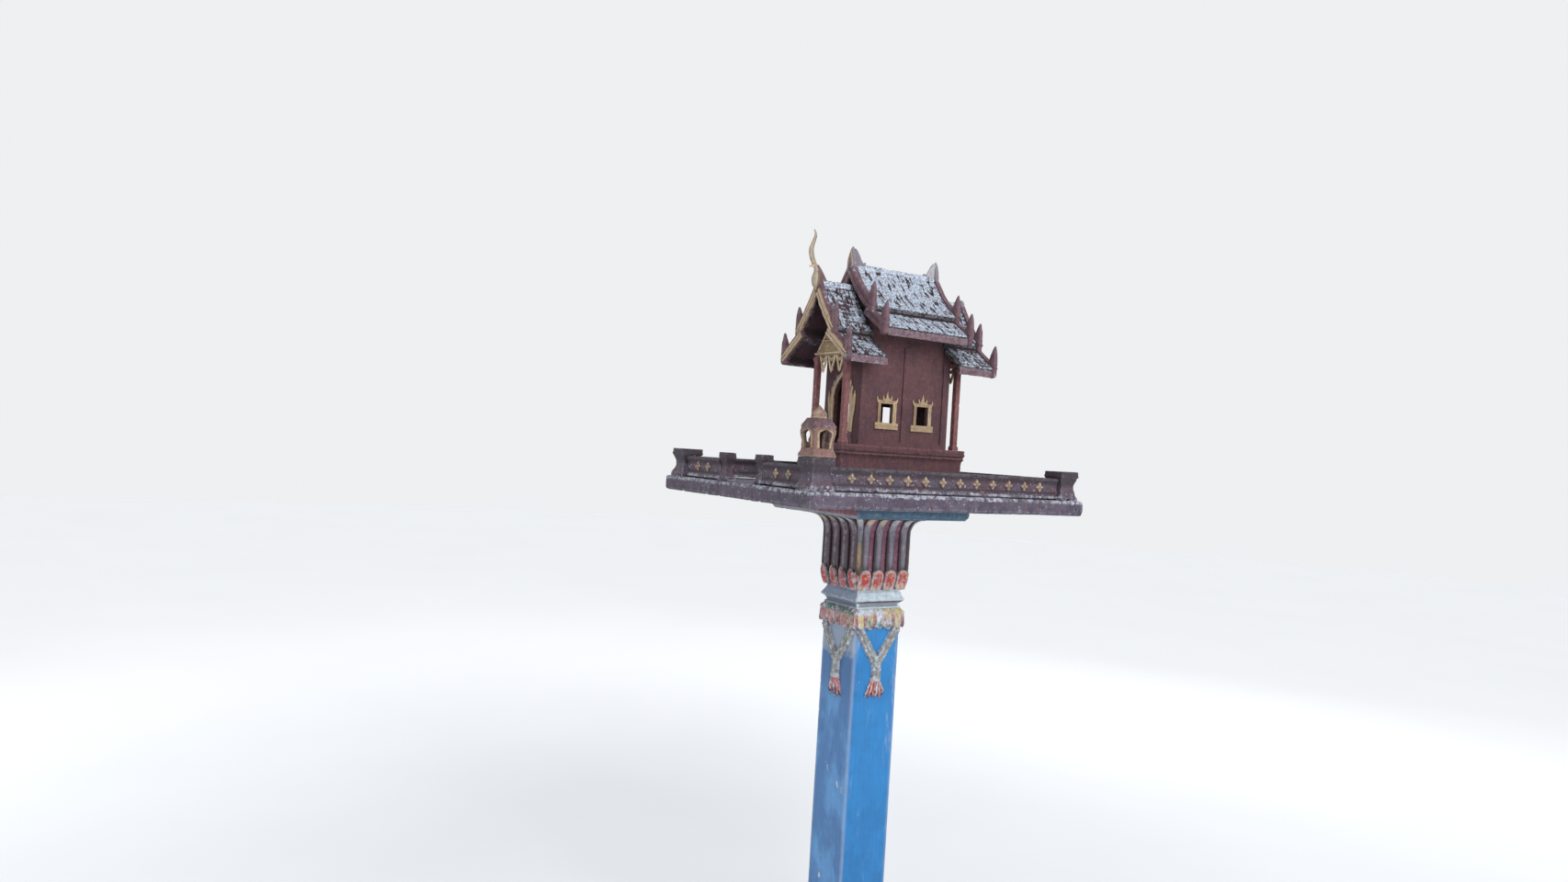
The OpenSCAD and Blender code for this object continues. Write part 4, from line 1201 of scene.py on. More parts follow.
@dataclass
class Pillar(Assembly):
    """Square shaft, studded garlands, hanging petals and the neck ring."""

    width: float = 104.0
    top: float = 815.0
    bevel: float = 2.5
    collar_z: float = 776.0
    collar_h: float = 39.0
    band: float = 9.0
    petals: int = 5
    string_drop: float = 66.0
    string_w: float = 18.0
    stud_rows: float = 6.4
    stud_count: int = 21
    stem_h: float = 28.0
    tassel_h: float = 41.0
    strand_h: float = 40.0
    neck_h: float = 35.0

    @property
    def low(self) -> float:
        """Height at which the two strings of a garland meet."""
        return self.collar_z + 2 - self.string_drop

    @property
    def span(self) -> float:
        """Distance from the middle of a face at which a string starts."""
        return self.width / 2 - self.string_w / 2 + 1

    def string_at(self, flip: int, t: float) -> Pair:
        """Place on the right string, or on the left one at -1, at a share of its length."""
        return flip * self.span * (1 - t), self.low + self.string_drop * (1 - t) ** 1.08

    def shaft(self) -> None:
        """The painted shaft."""
        r = self.width / 2
        form = block(r, r, [(-self.bevel, 0), (0, self.bevel), (0, self.top)], 5.0, (4.0,))
        self.shop.piece("shaft", form, "shaft_blue", "shaft_paint", ["pillar_shaft"],
                        Weather(0.06, 0.25, 0.7, 0.12, 1, 3))

    def garland(self) -> Form:
        """One garland for the front: two plaited strings, the stem and the tassel's bands."""
        plane = Plane((0, -self.width / 2 + 0.3, 0))
        low, foot = self.low, self.low - self.stem_h
        form = Form()
        for flip in (-1, 1):
            rows = [(*self.string_at(flip, t), self.string_w / 2 + 0.6, 5.4) for t in np.linspace(0, 1, 26)]
            form.join(taper(rows, plane, 10, 1, 0.6, Paint.GREY_MID))
        stem = [(0, low + 11, 8.5, 6), (0, low - 2, 11.5, 8), (0, low - 14, 10.6, 7.5), (0, foot, 10.6, 8)]
        form.join(taper(stem, plane, 12, 4, 0.7, Paint.GREY_MID))
        knot = [(0, foot + 3, 10, 8.6), (0, foot, 12, 10), (0, foot - 5, 11, 9)]
        return form.join(taper(knot, plane, 14, 4, 0.8, Paint.OLIVE))

    def studs(self, side: Side) -> list[Place]:
        """Places of the little studs that cover one garland, in three rows.

        Args:
            side: The side of the shaft.

        Returns:
            Place, turn and scale of each stud.
        """
        r = self.width / 2
        slope = math.atan2(self.string_drop, self.span)
        spots = []
        for flip, i, row in product((-1, 1), range(self.stud_count), (-1, 0, 1)):
            a, b = self.string_at(flip, (i + (0.5 if row else 0)) / self.stud_count)
            a += row * self.stud_rows * math.sin(slope) * flip
            b -= row * self.stud_rows * math.cos(slope)
            spots.append((Vector((a, -r - (3.6 if row else 5.2), b)), row))
        for i, row in product(range(7), (-1, 0, 1)):
            z = self.low + 3 - i * 4.2 - abs(row) * 2
            spots.append((Vector((row * 7.0, -r - (5.4 if row else 7.2), z)), row))
        return [(side.turn() @ at, Vector((math.pi / 2, 0, math.radians(90 * side.value + row * 28))),
                 Vector((1, 1, 1))) for at, row in spots]

    def strands(self, side: Side) -> list[Place]:
        """Places of the strands of one tassel, in three layers.

        Args:
            side: The side of the shaft.

        Returns:
            Place, turn and scale of each strand.
        """
        top = self.low - self.stem_h - 3
        places = []
        for layer, (count, reach, drop) in enumerate(((13, 13.5, 0), (11, 10.5, 3), (7, 6.0, 5))):
            for i in range(count):
                angle = math.pi * (i + 0.5) / count
                x = math.cos(angle) * reach * 0.72
                y = -math.sin(angle) * (3.0 + reach * 0.3) - self.width / 2 + 0.5
                places.append((side.turn() @ Vector((x, y, top - layer * 0.5)),
                               Vector((0.2 * math.sin(angle), -math.cos(angle) * 0.32, side.angle)),
                               Vector((1, 1, (self.tassel_h - drop - 2) / self.strand_h))))
        return places

    def garlands(self) -> None:
        """All four garlands with their studs and tassels."""
        studs: list[Place] = []
        strands: list[Place] = []
        for side in Side:
            self.shop.piece("string_" + side.label, Form().join(self.garland(), side.turn()), "garland_grey",
                            "garland_relief", ["garland_" + side.label],
                            Weather(0.25, 0.2, 0.8, 0.4, 1, side.value + 4))
            studs += self.studs(side)
            strands += self.strands(side)
        stud = dome(6.0, 5.4, 2.4, 7, 3, Paint.OLIVE).join(dome(1.5, 1.5, 2.8, 6, 2, Paint.GREY_DARK))
        self.shop.spread("garland_studs", stud, studs, "garland_grey", "garland_relief", 0.35, 0.35, 5)
        count = len(strands) // 4
        rows = [(0, 0, 1.6, 1.7), (1.2, -9, 1.9, 2.0), (-0.9, -18, 2.2, 2.2), (1.2, -27, 2.3, 2.3),
                (-0.6, -35, 2.0, 2.0), (0.6, -self.strand_h, 0.8, 0.8)]
        for k, (tint, flip) in enumerate(((Paint.RED, -1), (Paint.WHITE, 1))):
            strand = taper([(flip * a, b, w, h) for a, b, w, h in rows], Plane(), 7, 2, 1.0, tint)
            strand.repaint(lambda c: Paint.MAROON if c[2] < -33 else Paint.PINK if c[0] > 0.7 else None)
            places = [place for i, place in enumerate(strands) if i % count % 2 == k]
            self.shop.spread("tassel_strands_" + tint.name.lower(), strand, places, "petal_colours",
                             "garland_relief", 0.16, 0.26, 7 + k)

    def collar(self) -> None:
        """The hanging petals under the neck ring."""
        r = self.width / 2
        drop = self.collar_h - self.band
        z, top = self.collar_z + drop, self.collar_z + drop + self.band
        form = block(r + 4, r + 4, [(0, z - 4), (2.4, z - 1), (2, z + 3), (-3, top - 1), (-4, top)], 3,
                     (3.0,))
        form.repaint(lambda c: Paint.GREEN if -c[1] > abs(c[0]) or -c[0] > abs(c[1]) else
                     Paint.YELLOW if c[1] > 8 else Paint.WHITE)
        pitch = (self.width + 5) / self.petals
        shaded = ((Paint.PINK, Paint.PINK), (Paint.CREAM, Paint.PINK), (Paint.PINK, Paint.RED_BROWN),
                  (Paint.GOLD, Paint.ORANGE), (Paint.GOLD, Paint.GOLD))
        bright = ((Paint.YELLOW, Paint.YELLOW), (Paint.YELLOW, Paint.GREEN), (Paint.WHITE, Paint.GREEN),
                  (Paint.CREAM, Paint.TEAL), (Paint.YELLOW, Paint.CREAM))
        for side in Side:
            tones = shaded if side in (Side.FRONT, Side.LEFT) else bright
            for i in range(self.petals):
                x = (i - (self.petals - 1) / 2) * pitch
                length = drop + (1.5 if i % 2 else -0.5)
                form.join(self.petal(x, z, pitch * 0.44, length, tones[i], 6.2), side.turn())
            for i in range(self.petals + 1):
                x = (i - self.petals / 2) * pitch
                tone = (Paint.RED, Paint.PINK)[i % 2]
                form.join(self.petal(x, z, 3.4, drop - 1.0, (tone, Paint.MAROON), 8.0), side.turn())
        self.shop.piece("hanging_petals", form, "petal_colours", "petal_paint", ["petal_collar"],
                        Weather(0.3, 0.4, 0.8, 0.35, 1, 21), blended=True)

    def petal(
        self, x: float, z: float, half: float, length: float, tones: tuple[Paint, Paint], depth: float
    ) -> Form:
        """One hanging petal on the front, leaning out towards its tip.

        Args:
            x: Place across the face.
            z: Height of its root.
            half: Half width.
            length: Length.
            tones: Paint of its root and of its tip.
            depth: How far it stands out.

        Returns:
            The petal.
        """
        lean = math.radians(6)
        plane = Plane((x, -self.width / 2 + 1.5, z + 1), (-1, 0, 0), (0, -math.sin(lean), -math.cos(lean)),
                      (0, -math.cos(lean), math.sin(lean)))

        def wide(t: float) -> float:
            """Half width, rounded at the tip."""
            return half * (1.0 if t < 0.6 else math.sqrt(max(0.05, 1 - ((t - 0.6) / 0.42) ** 2)))

        def rise(a: np.ndarray, s: np.ndarray, t: float) -> np.ndarray:
            """Rounded across, with a rim and a crease down the middle."""
            body = depth * (0.55 + 0.45 * np.sqrt(np.clip(1 - s * s * 0.96, 0, 1)))
            return body - 0.8 * np.exp(-(s / 0.16) ** 2) - depth * 0.25 * max(0.0, t - 0.8) * 3

        return tongue(
            length, wide, rise, plane, 9, 8,
            lambda t, s: tones[0] if t < 0.45 + 0.2 * math.sin(s * 5 + x) or abs(s) > 0.8 else tones[1])

    def neck(self) -> None:
        """The square ring with a sharp nose between the collar and the capital."""
        z, h = self.top, self.neck_h
        nose = [(1, z), (1, z + 2), (-2, z + 4), (-2, z + h * 0.24), (1, z + h * 0.34), (4.8, z + h * 0.41),
                (6.5, z + h * 0.46), (5.4, z + h * 0.52), (3.2, z + h * 0.62), (1, z + h * 0.74),
                (-1.4, z + h * 0.86), (-2, z + h - 3), (-1, z + h)]
        form = block(self.width / 2, self.width / 2, nose, 2.6, (4.0,), Paint.WHITE)
        # Painted shade: the front and left faces are slate instead of white, and the downward slope under the
        # nose is dark grey.
        form.repaint(lambda c: Paint.SLATE if c[1] < -abs(c[0]) or c[0] < -abs(c[1]) else
                     Paint.GREY_DARK if z + h * 0.3 < c[2] < z + h * 0.42 else None)
        self.shop.piece("neck_nose", form, "ring_whitewash", "ring_paint", ["neck_ring"],
                        Weather(0.25, 0.5, 2.2, 0.3, 1, 31))

    def build(self) -> None:
        """Everything from the foot up to the capital."""
        self.shaft()
        self.garlands()
        self.collar()
        self.neck()


@dataclass
class LotusCapital(Assembly):
    """Core, a row of short petals and a row of tall ribs that curl out under the abacus."""

    z: float = 850.0
    top: float = 989.0
    row_h: float = 42.0
    ribs: int = 4
    rib_w: float = 18.0
    rib_r: float = 61.0
    curl: float = 28.0
    bend: float = 32.0
    half: float = 54.0
    corner: float = 1.37

    def rib(self, x: float, reach: float, w: float, rimmed: bool, ochre: float = 0.0) -> Form:
        """One tall rib, rounded, or hollow between two raised rims.

        Args:
            x: Place across the face.
            reach: Distance of the rib's face from the pillar's middle.
            w: Half width.
            rimmed: Whether it has rims.
            ochre: Height up to which it is painted ochre.

        Returns:
            The rib, for the front.
        """
        plane = Plane(across=(0, -1, 0), out=(-1, 0, 0))
        low, high = self.z + self.row_h - 14, self.top
        path = [(reach - 1.5, low), (reach, low + 12)]
        path += [(reach, z) for z in np.linspace(low + 18, high - self.bend, 10)]
        path += [(reach + self.curl * (1 - math.cos(math.radians(a))),
                  high - self.bend + (self.bend - 4) * math.sin(math.radians(a))) for a in range(8, 89, 8)]
        path.append((reach + self.curl + 1.0, high - 2.6))
        base = -(reach - self.half + 6)
        if rimmed:
            line = [(base, -w + 1.0), (-3, -w + 0.2), (-0.8, -w), (0.8, -w + 0.9), (1.1, -w + 2.6),
                    (0.2, -w + 3.8), (-1.9, -w + 4.6), (-2.1, -w * 0.25), (-1.7, 0)]
            paints = [Paint.GROOVE, Paint.GREY, Paint.GREY_PALE, Paint.GREY_PALE, Paint.GREY, Paint.GREY_MID,
                      Paint.MAROON_GREY, Paint.MAROON_GREY]
        else:
            line = [(base, -w + 1.2), (-4.2, -w + 0.1), (-2.4, -w + 0.1), (-1.0, -w + 1.3), (0.1, -w + 3.2),
                    (0.7, -w * 0.42), (0.9, -w * 0.2), (1.0, 0)]
            paints = [Paint.GROOVE] * 2 + [Paint.GREY] * 2 + [Paint.GREY_MID] * 3
        section = np.array(line + [(a, -b) for a, b in reversed(line[:-1])])
        rings = []
        for i, (a, b) in enumerate(path):
            left = len(path) - i
            shrink = {1: 0.4, 2: 0.68, 3: 0.86, 4: 0.96}.get(left, 1.0)
            before, after = path[max(0, i - 1)], path[min(len(path) - 1, i + 1)]
            d = np.array([after[0] - before[0], after[1] - before[1]])
            d /= np.linalg.norm(d)
            deep = np.maximum(section[:, 0], -9.0) if left < 9 else section[:, 0]
            rings.append(plane.at(a + d[1] * deep, b - d[0] * deep, section[:, 1] * shrink + x))
        tip = Paint.CREAM if x > 0 else Paint.GREY_PALE
        form = Form().loft(rings, paints + paints[::-1] + [Paint.MAROON])
        return form.repaint(lambda c: Paint.GOLD if c[2] < ochre and c[1] < 1.5 - reach else
                            tip if c[2] > high - 18 and c[1] < -reach - 6 else None)

    def short_petal(self, x: float, half: float, reach: float, flame: bool) -> Form:
        """One short petal of the lower row, for the front.

        Args:
            x: Place across the face.
            half: Half width.
            reach: Distance of its root from the pillar's middle.
            flame: Whether it is pointed and narrow, or else a broad cartouche.

        Returns:
            The petal.
        """
        lean = math.radians(-16 if flame else -13)
        plane = Plane((x, -reach, self.z + 0.5), (1, 0, 0), (0, math.sin(lean), math.cos(lean)),
                      (0, -math.cos(lean), math.sin(lean)))
        start, power = (0.45, 0.9) if flame else (0.7, 0.5)

        def wide(t: float) -> float:
            """Half width, pointed or blunt at the tip."""
            tip = max(0.05, 1 - ((t - start) / (1.01 - start)) ** 2) ** power
            return half * (0.86 + 0.14 * math.sin(math.pi * t) if t < start else tip)

        def rise(a: np.ndarray, s: np.ndarray, t: float) -> np.ndarray:
            """Swelling outwards, hollow inside a raised rim.

            Args:
                a: Distances from the middle.
                s: Shares of the half width.
                t: Share of the length.

            Returns:
                Heights out of the plane.
            """
            swell = 2.6 + 3.4 * math.sin(math.pi * min(1.0, 0.12 + t * 0.8))
            swell += 2.0 * t ** 3 if flame else 0.0
            rim = 1.3 * np.exp(-((np.abs(s) - 0.85) / 0.13) ** 2)
            return swell * (0.7 + 0.3 * np.sqrt(np.clip(1 - s * s * 0.95, 0, 1))) + rim

        def paint(t: float, s: float) -> Paint:
            """Red inside a pink or cream border, with a dark rim.

            Args:
                t: Share of the length.
                s: Share of the half width.

            Returns:
                The paint there.
            """
            edge = abs(s)
            if flame:
                return (Paint.MAROON_GREY if edge > 0.72 or t > 0.92 else
                        Paint.PINK if edge > 0.45 else Paint.RED)
            heart = 0.2 + 0.1 * math.sin(9 * s + x) < t < 0.86 and edge < 0.66
            return Paint.MAROON_GREY if edge > 0.86 else Paint.RED if heart else Paint.CREAM

        if flame:
            return tongue(self.row_h, wide, rise, plane, 12, 12, paint)
        return tongue(self.row_h - 2, wide, rise, plane, 14, 14, paint)

    def build(self) -> None:
        """The whole capital as one piece."""
        pitch = 2 * self.rib_r / self.ribs - 1
        throat = [(0, self.z), (0, self.top - 44), (2, self.top - 30), (7, self.top - 16), (13, self.top - 6),
                  (16, self.top)]
        form = block(self.half, self.half, throat, 4, (6.0,), Paint.GROOVE)
        for side in Side:
            shaded = side in (Side.FRONT, Side.LEFT)
            for i in range(self.ribs):
                x = (i - (self.ribs - 1) / 2) * pitch
                form.join(self.rib(x, self.rib_r, self.rib_w / 2, shaded), side.turn())
                petal = self.short_petal(x, pitch * 0.38 if shaded else pitch / 2 - 1.0, self.half - 1.5,
                                         shaded)
                form.join(petal, side.turn())
            turn = side.turn() @ Matrix.Rotation(math.radians(45), 4, "Z")
            form.join(self.rib(0, self.rib_r * self.corner, 7.0, False, self.z + 84), turn)
            form.join(self.short_petal(0, 8.6, (self.half - 3.0) * self.corner, False), turn)
        self.shop.piece("lotus_petals", form, "capital_paint", "capital_paint", ["lotus_capital"],
                        Weather(0.22, 0.3, 0.8, 0.3, 1, 41), 50, True)


@dataclass
class Platform(Assembly):
    """Abacus plate and the slab that the house stands on."""

    half_x: float = 256.0
    half_y: float = 310.0
    thick: float = 28.0
    abacus_x: float = 142.0
    abacus_y: float = 132.0
    abacus_h: float = 23.0

    def build(self) -> None:
        """The slab and the abacus: teal on its sides, red-brown at front and back, with a grey lip."""
        z = DECK - self.thick
        slab = block(self.half_x, self.half_y, [(-3, z), (0, z + 4), (0, DECK - 3), (-2, DECK)], 4.0,
                     (2.0, 5.0, 9.0, 14.0, 22.0, 34.0, 50.0, 70.0, 95.0, 125.0, 160.0, 200.0))
        self.shop.piece("deck_slab", slab, "deck_stain", "deck_concrete", ["platform_slab"],
                        Weather(0.3, 0.5, 1.4, 0.22, 1, 51))
        a = z - self.abacus_h
        lip = [(-5, a), (-3, a + 3), (-2, a + 5), (-1, a + 6), (0, a + 9), (0, z)]
        form = block(self.abacus_x, self.abacus_y, lip, 4.0, (4.0,), Paint.BRICK)
        form.repaint(lambda c: Paint.GREY if c[2] <= a + 1 else
                     Paint.TEAL if abs(c[0]) / self.abacus_x > abs(c[1]) / self.abacus_y else
                     Paint.GREY if c[2] < a + 7 else None)
        self.shop.piece("abacus", form, "abacus_paint", "capital_paint", ["abacus_plate"],
                        Weather(0.2, 0.4, 0.9, 0.2, 1, 52))


@dataclass
class Balustrade(Assembly):
    """Low rails with corner and gate posts, and a row of gilded rosettes."""

    rail_x: float = 226.0
    rail_y: float = 280.0
    gate_x: float = 65.0
    rail_h: float = 40.0
    foot_w: float = 28.0
    waist_w: float = 17.0
    cap_w: float = 25.0
    post_h: float = 54.0
    post_w: float = 46.0
    gate_w: float = 26.0
    pitch: float = 39.0
    side_row: int = 12
    gate_row: int = 2
    rosette_d: float = 19.5
    rosette_z: float = 22.5
    shield_h: float = 23.0

    def rail(self, start: float, end: float) -> Form:
        """A rail along X between two places.

        Args:
            start: Where it starts.
            end: Where it ends.

        Returns:
            The rail.
        """
        f, w, c, h = self.foot_w / 2, self.waist_w / 2, self.cap_w / 2, self.rail_h
        right = [(f, 0), (f, 5), (f - 1, 6.5), (w + 2.6, 8.5), (w + 0.8, 10.5), (w, 13), (w, 20), (w, h - 11),
                 (w + 0.8, h - 8.6), (w + 2.6, h - 6.6), (c - 0.6, h - 5), (c, h - 3.6), (c, h - 0.6),
                 (c - 1.4, h)]
        right = fine(right, 3.2) + [(3.5, h)]
        section = right + [(-a, b) for a, b in reversed(right)]
        return drawn(section, spaced(start, end, 4), Plane((0, 0, DECK), (0, 1, 0), out=(1, 0, 0)))

    def post(self, w: float, h: float) -> Form:
        """A post with a spreading foot, a hollow waist and a flat cap.

        Args:
            w: Width.
            h: Height above the deck.

        Returns:
            The post.
        """
        waist = [(-5.5 * math.sin(math.pi * i / 8), 8 + (h - 20) * i / 8) for i in range(9)]
        side = [(1, 0), (1, 6)] + waist + [(1, h - 9), (0, h - 6), (0, h)]
        return block(w / 2 - 1, w / 2 - 1, [(a, DECK + b) for a, b in side], 3.0, (1.5, 4.0, 8.0, 13.0))

    def rosette(self) -> Form:
        """A flower of four long and four short petals on a shield, standing in XZ and facing -Y."""
        h, r = self.shield_h / 2, self.rosette_d / 2
        shield = [(0, -h, 0.5, 0.8), (0, -h * 0.62, r * 0.66, 1.6), (0, -h * 0.1, r * 1.22, 2.2),
                  (0, h * 0.3, r * 1.08, 2.1), (0, h * 0.6, r * 0.66, 1.6), (0, h * 0.96, 0.5, 0.8)]
        form = Form().join(taper(shield, Plane(), 10, 2, 0.8, Paint.MAROON_DARK))
        for k in range(8):
            a = math.radians(45 * k)
            long, wide, paint = (0.74, 0.7, Paint.GOLD_DARK) if k % 2 else (1.0, 1.0, Paint.GOLD_GREY)
            stations = ((0.6, 1.4, 3.2), (r * 0.4, r * 0.48, 4.4), (r * 0.7 * long, r * 0.42, 3.9),
                        (r * long, 0.8, 2.0))
            rows = [(math.cos(a) * q, math.sin(a) * q, w * wide, t) for q, w, t in stations]
            form.join(taper(rows, Plane(), 7, 1, 0.9, paint))
        return form.join(dome(5.4, 5.4, 5.8, 8, 3, Paint.GOLD), Matrix.Rotation(math.radians(90), 4, "X"))

    def places(self) -> list[Place]:
        """Place, turn and scale of each rosette."""
        mid = (self.rail_x - self.post_w / 2 + self.gate_x + self.gate_w / 2) / 2
        back = math.floor((2 * self.rail_x - self.post_w) / self.pitch)
        places = []
        for side, count, middle, reach in ((Side.FRONT, self.gate_row, mid, self.rail_y),
                                           (Side.FRONT, self.gate_row, -mid, self.rail_y),
                                           (Side.RIGHT, self.side_row, 0, self.rail_x),
                                           (Side.LEFT, self.side_row, 0, self.rail_x),
                                           (Side.BACK, back, 0, self.rail_y)):
            for i in range(count):
                x = middle + (i - (count - 1) / 2) * self.pitch
                at = side.turn() @ Vector((x, -reach - self.waist_w / 2, DECK + self.rosette_z))
                places.append((at, Vector((0, 0, side.angle)), Vector((1, 1, 1))))
        return places

    def build(self) -> None:
        """Rails, posts and rosettes."""
        front, back = (Matrix.Translation((0, way * self.rail_y, 0)) for way in (-1, 1))
        inner, gate = self.rail_x - self.post_w / 2 + 4, self.gate_x + self.gate_w / 2 - 3
        long = self.rail_y - self.post_w / 2 + 4
        wear = Weather(0.3, 0.5, 2.6, 0.36, 1, 61)
        cast = [("front_rail_right", "rail_front_right", self.rail(gate, inner), front, wear),
                ("front_rail_left", "rail_front_left", self.rail(-inner, -gate), front, wear),
                ("back_rail", "rail_back", self.rail(-inner, inner), back, wear)]
        for side in (Side.RIGHT, Side.LEFT):
            place = side.turn() @ Matrix.Translation((0, -self.rail_x, 0))
            cast.append(("side_rail_" + side.label, "rail_" + side.label, self.rail(-long, long), place,
                         wear))
        for k, (y, x) in enumerate(product((-1, 1), repeat=2)):
            node = f"corner_post_{'front' if y < 0 else 'back'}_{'left' if x < 0 else 'right'}"
            cast.append((node + "_cast", node, self.post(self.post_w, self.post_h),
                         Matrix.Translation((x * self.rail_x, y * self.rail_y, 0)),
                         Weather(0.3, 0.5, 3.0, 0.34, 1, 70 + k)))
        for x, node in ((-1, "gate_post_left"), (1, "gate_post_right")):
            cast.append((node + "_cast", node, self.post(self.gate_w, self.post_h - 2),
                         Matrix.Translation((x * self.gate_x, -self.rail_y, 0)),
                         Weather(0.3, 0.4, 2.4, 0.34, 1, 80 + x)))
        for name, node, form, place, weather in cast:
            self.shop.piece(name, Form().join(form, place), "rail_stain", "rail_concrete", [node], weather)
        self.shop.spread("gilded_rosettes", self.rosette(), self.places(), "gold_and_paint", "gilding",
                         0.06, 0.1, 9, ["rosettes"], Weather(0.15, 0.1, 0.4, 0.3, 1, 9))


@dataclass
class CornerLantern(Assembly):
    """Small clay pavilion on the front right post, open on four sides, with a gilded dome."""

    at: Pair = (226.0, -280.0)
    foot: float = 1094.0
    half: float = 19.0
    body_h: float = 48.0
    sill: float = 14.4
    wall_t: float = 4.2
    columns: int = 9
    arch: tuple[Pair, ...] = ((8.8, 0), (9.0, 4), (9.4, 10), (10.4, 15), (11.0, 19), (10.8, 22.5),
                              (9.0, 25.6), (5.6, 27.6), (2.0, 28.8))
    bell: tuple[Pair, ...] = ((4, 0), (4.2, 3), (2.8, 7.7), (1.1, 12), (0.1, 15.4), (0, 21), (0.6, 27.8),
                              (1.6, 33.6), (2.5, 38.4), (2.8, 43.2), (2.2, 48))
    dome_d: float = 26.0

    def wall(self) -> Form:
        """Front wall with its keyhole opening, its foot at z = 0 and its face along the bell outline."""
        heights = np.array(sorted({float(round(v, 2)) for _, v in fine(self.bell, 2.0)}
                                  | {self.sill - 0.2} | {round(self.sill + b, 2) for _, b in self.arch}))
        width, level = np.array(self.bell).T
        off = np.interp(heights, level, width) + self.half
        width, level = np.array(self.arch).T
        inside = (heights >= self.sill) & (heights <= self.sill + level[-1])
        hole = np.where(inside, np.interp(heights - self.sill, level, width), 0.0)
        form = Form()
        n = self.columns + 1
        last = 2 * n * (len(heights) - 1)
        for side in (-1, 1):
            points, faces, paints = [], [], []
            for z, edge, h in zip(heights, off, hole):
                for depth, k in product((0.0, self.wall_t), range(n)):
                    share = k / self.columns
                    x = h + (edge - depth - h) * share
                    ease = 1.8 * max(0.0, 1 - (share / 0.55) ** 3) if h > 0 and depth == 0 else 0.0
                    round_off = 0.8 if k == self.columns and depth == 0 else 0.0
                    points.append((side * (x - round_off), -(edge - depth - round_off) - ease, z))
            for r in range(len(heights) - 1):
                low, high = 2 * n * r, 2 * n * (r + 1)
                open_here = hole[r] > 0 and hole[r + 1] > 0
                for k in range(self.columns):
                    rim = Paint.GOLD_DARK if k in (0, 4) else Paint.GOLD
                    faces += [(low + k, low + k + 1, high + k + 1, high + k),
                              (low + n + k, high + n + k, high + n + k + 1, low + n + k + 1)]
                    paints += [rim if open_here and k < 5 else Paint.CLAY, Paint.MAROON_DARK]
                if hole[r] > 0 or hole[r + 1] > 0:
                    faces.append((low, high, high + n, low + n))
                    paints.append(Paint.GOLD_DARK if open_here else Paint.CLAY)
            faces += [(r + k, r + k + 1, r + n + k + 1, r + n + k) for r in (0, last)
                      for k in range(self.columns)]
            form.add(np.array(points), faces, paints + [Paint.CLAY] * (2 * self.columns))
        return form

    def petal(self, c: np.ndarray) -> bool:
        """Tells whether a place on the dome lies on one of its four gilded petals."""
        turn = math.floor(math.degrees(math.atan2(c[1] - self.at[1], c[0] - self.at[0])) / 15)
        return turn % 6 in (2, 3) and c[2] < self.foot + self.body_h + 30

    def build(self) -> None:
        """Walls, base, roof and dome as one piece."""
        form = Form()
        place = Matrix.Translation((*self.at, self.foot))
        for side in Side:
            form.join(self.wall(), place @ side.turn())
        base = [(-3.6, 0), (-3.6, self.sill - 1.4), (-3.8, self.sill - 0.2)]
        top = self.body_h
        form.join(block(self.half, self.half, base, 3.0, (1.5,), Paint.CLAY), place)
        roof = [(1.6, top - 3), (2.4, top), (2.8, top + 1.2), (2.0, top + 2.9), (-0.8, top + 7.2),
                (-3, top + 10.8), (-4.2, top + 13.3), (-4.2, top + 14.7)]
        form.join(block(self.half, self.half, roof, 3.0, (1.5, 4.0), Paint.MAROON), place)
        z0, r = top + 14.2, self.dome_d / 2
        outline = [(r + 0.6, 0), (r + 1.2, 1.2), (r + 0.6, 3.0), (r - 0.8, 3.7), (r + 0.1, 6), (r - 1.0, 9.4),
                   (r - 3.4, 12.6), (r - 7.2, 15.6), (r - 10.2, 18.4), (0.8, 21.4)]
        ridged = 1 + 0.05 * np.cos(np.arange(24) * 2 * math.pi / 24 * 12)
        rings = [np.column_stack([oval(q, q, 24) * (ridged if i > 3 else np.ones(24))[:, None],
                                  np.full(24, z0 + z)]) for i, (q, z) in enumerate(outline)]
        form.join(Form().loft(rings, Paint.GOLD), place)
        limit = self.foot + z0 + 3.2
        form.repaint(lambda c: Paint.CLAY if c[2] > limit and not self.petal(c) else None)
        self.shop.piece("clay_lantern", form, "lantern_clay", "clay", ["lantern_body", "lantern_roof"],
                        Weather(0.2, 0.3, 1.0, 0.3, 1, 88), blended=True)


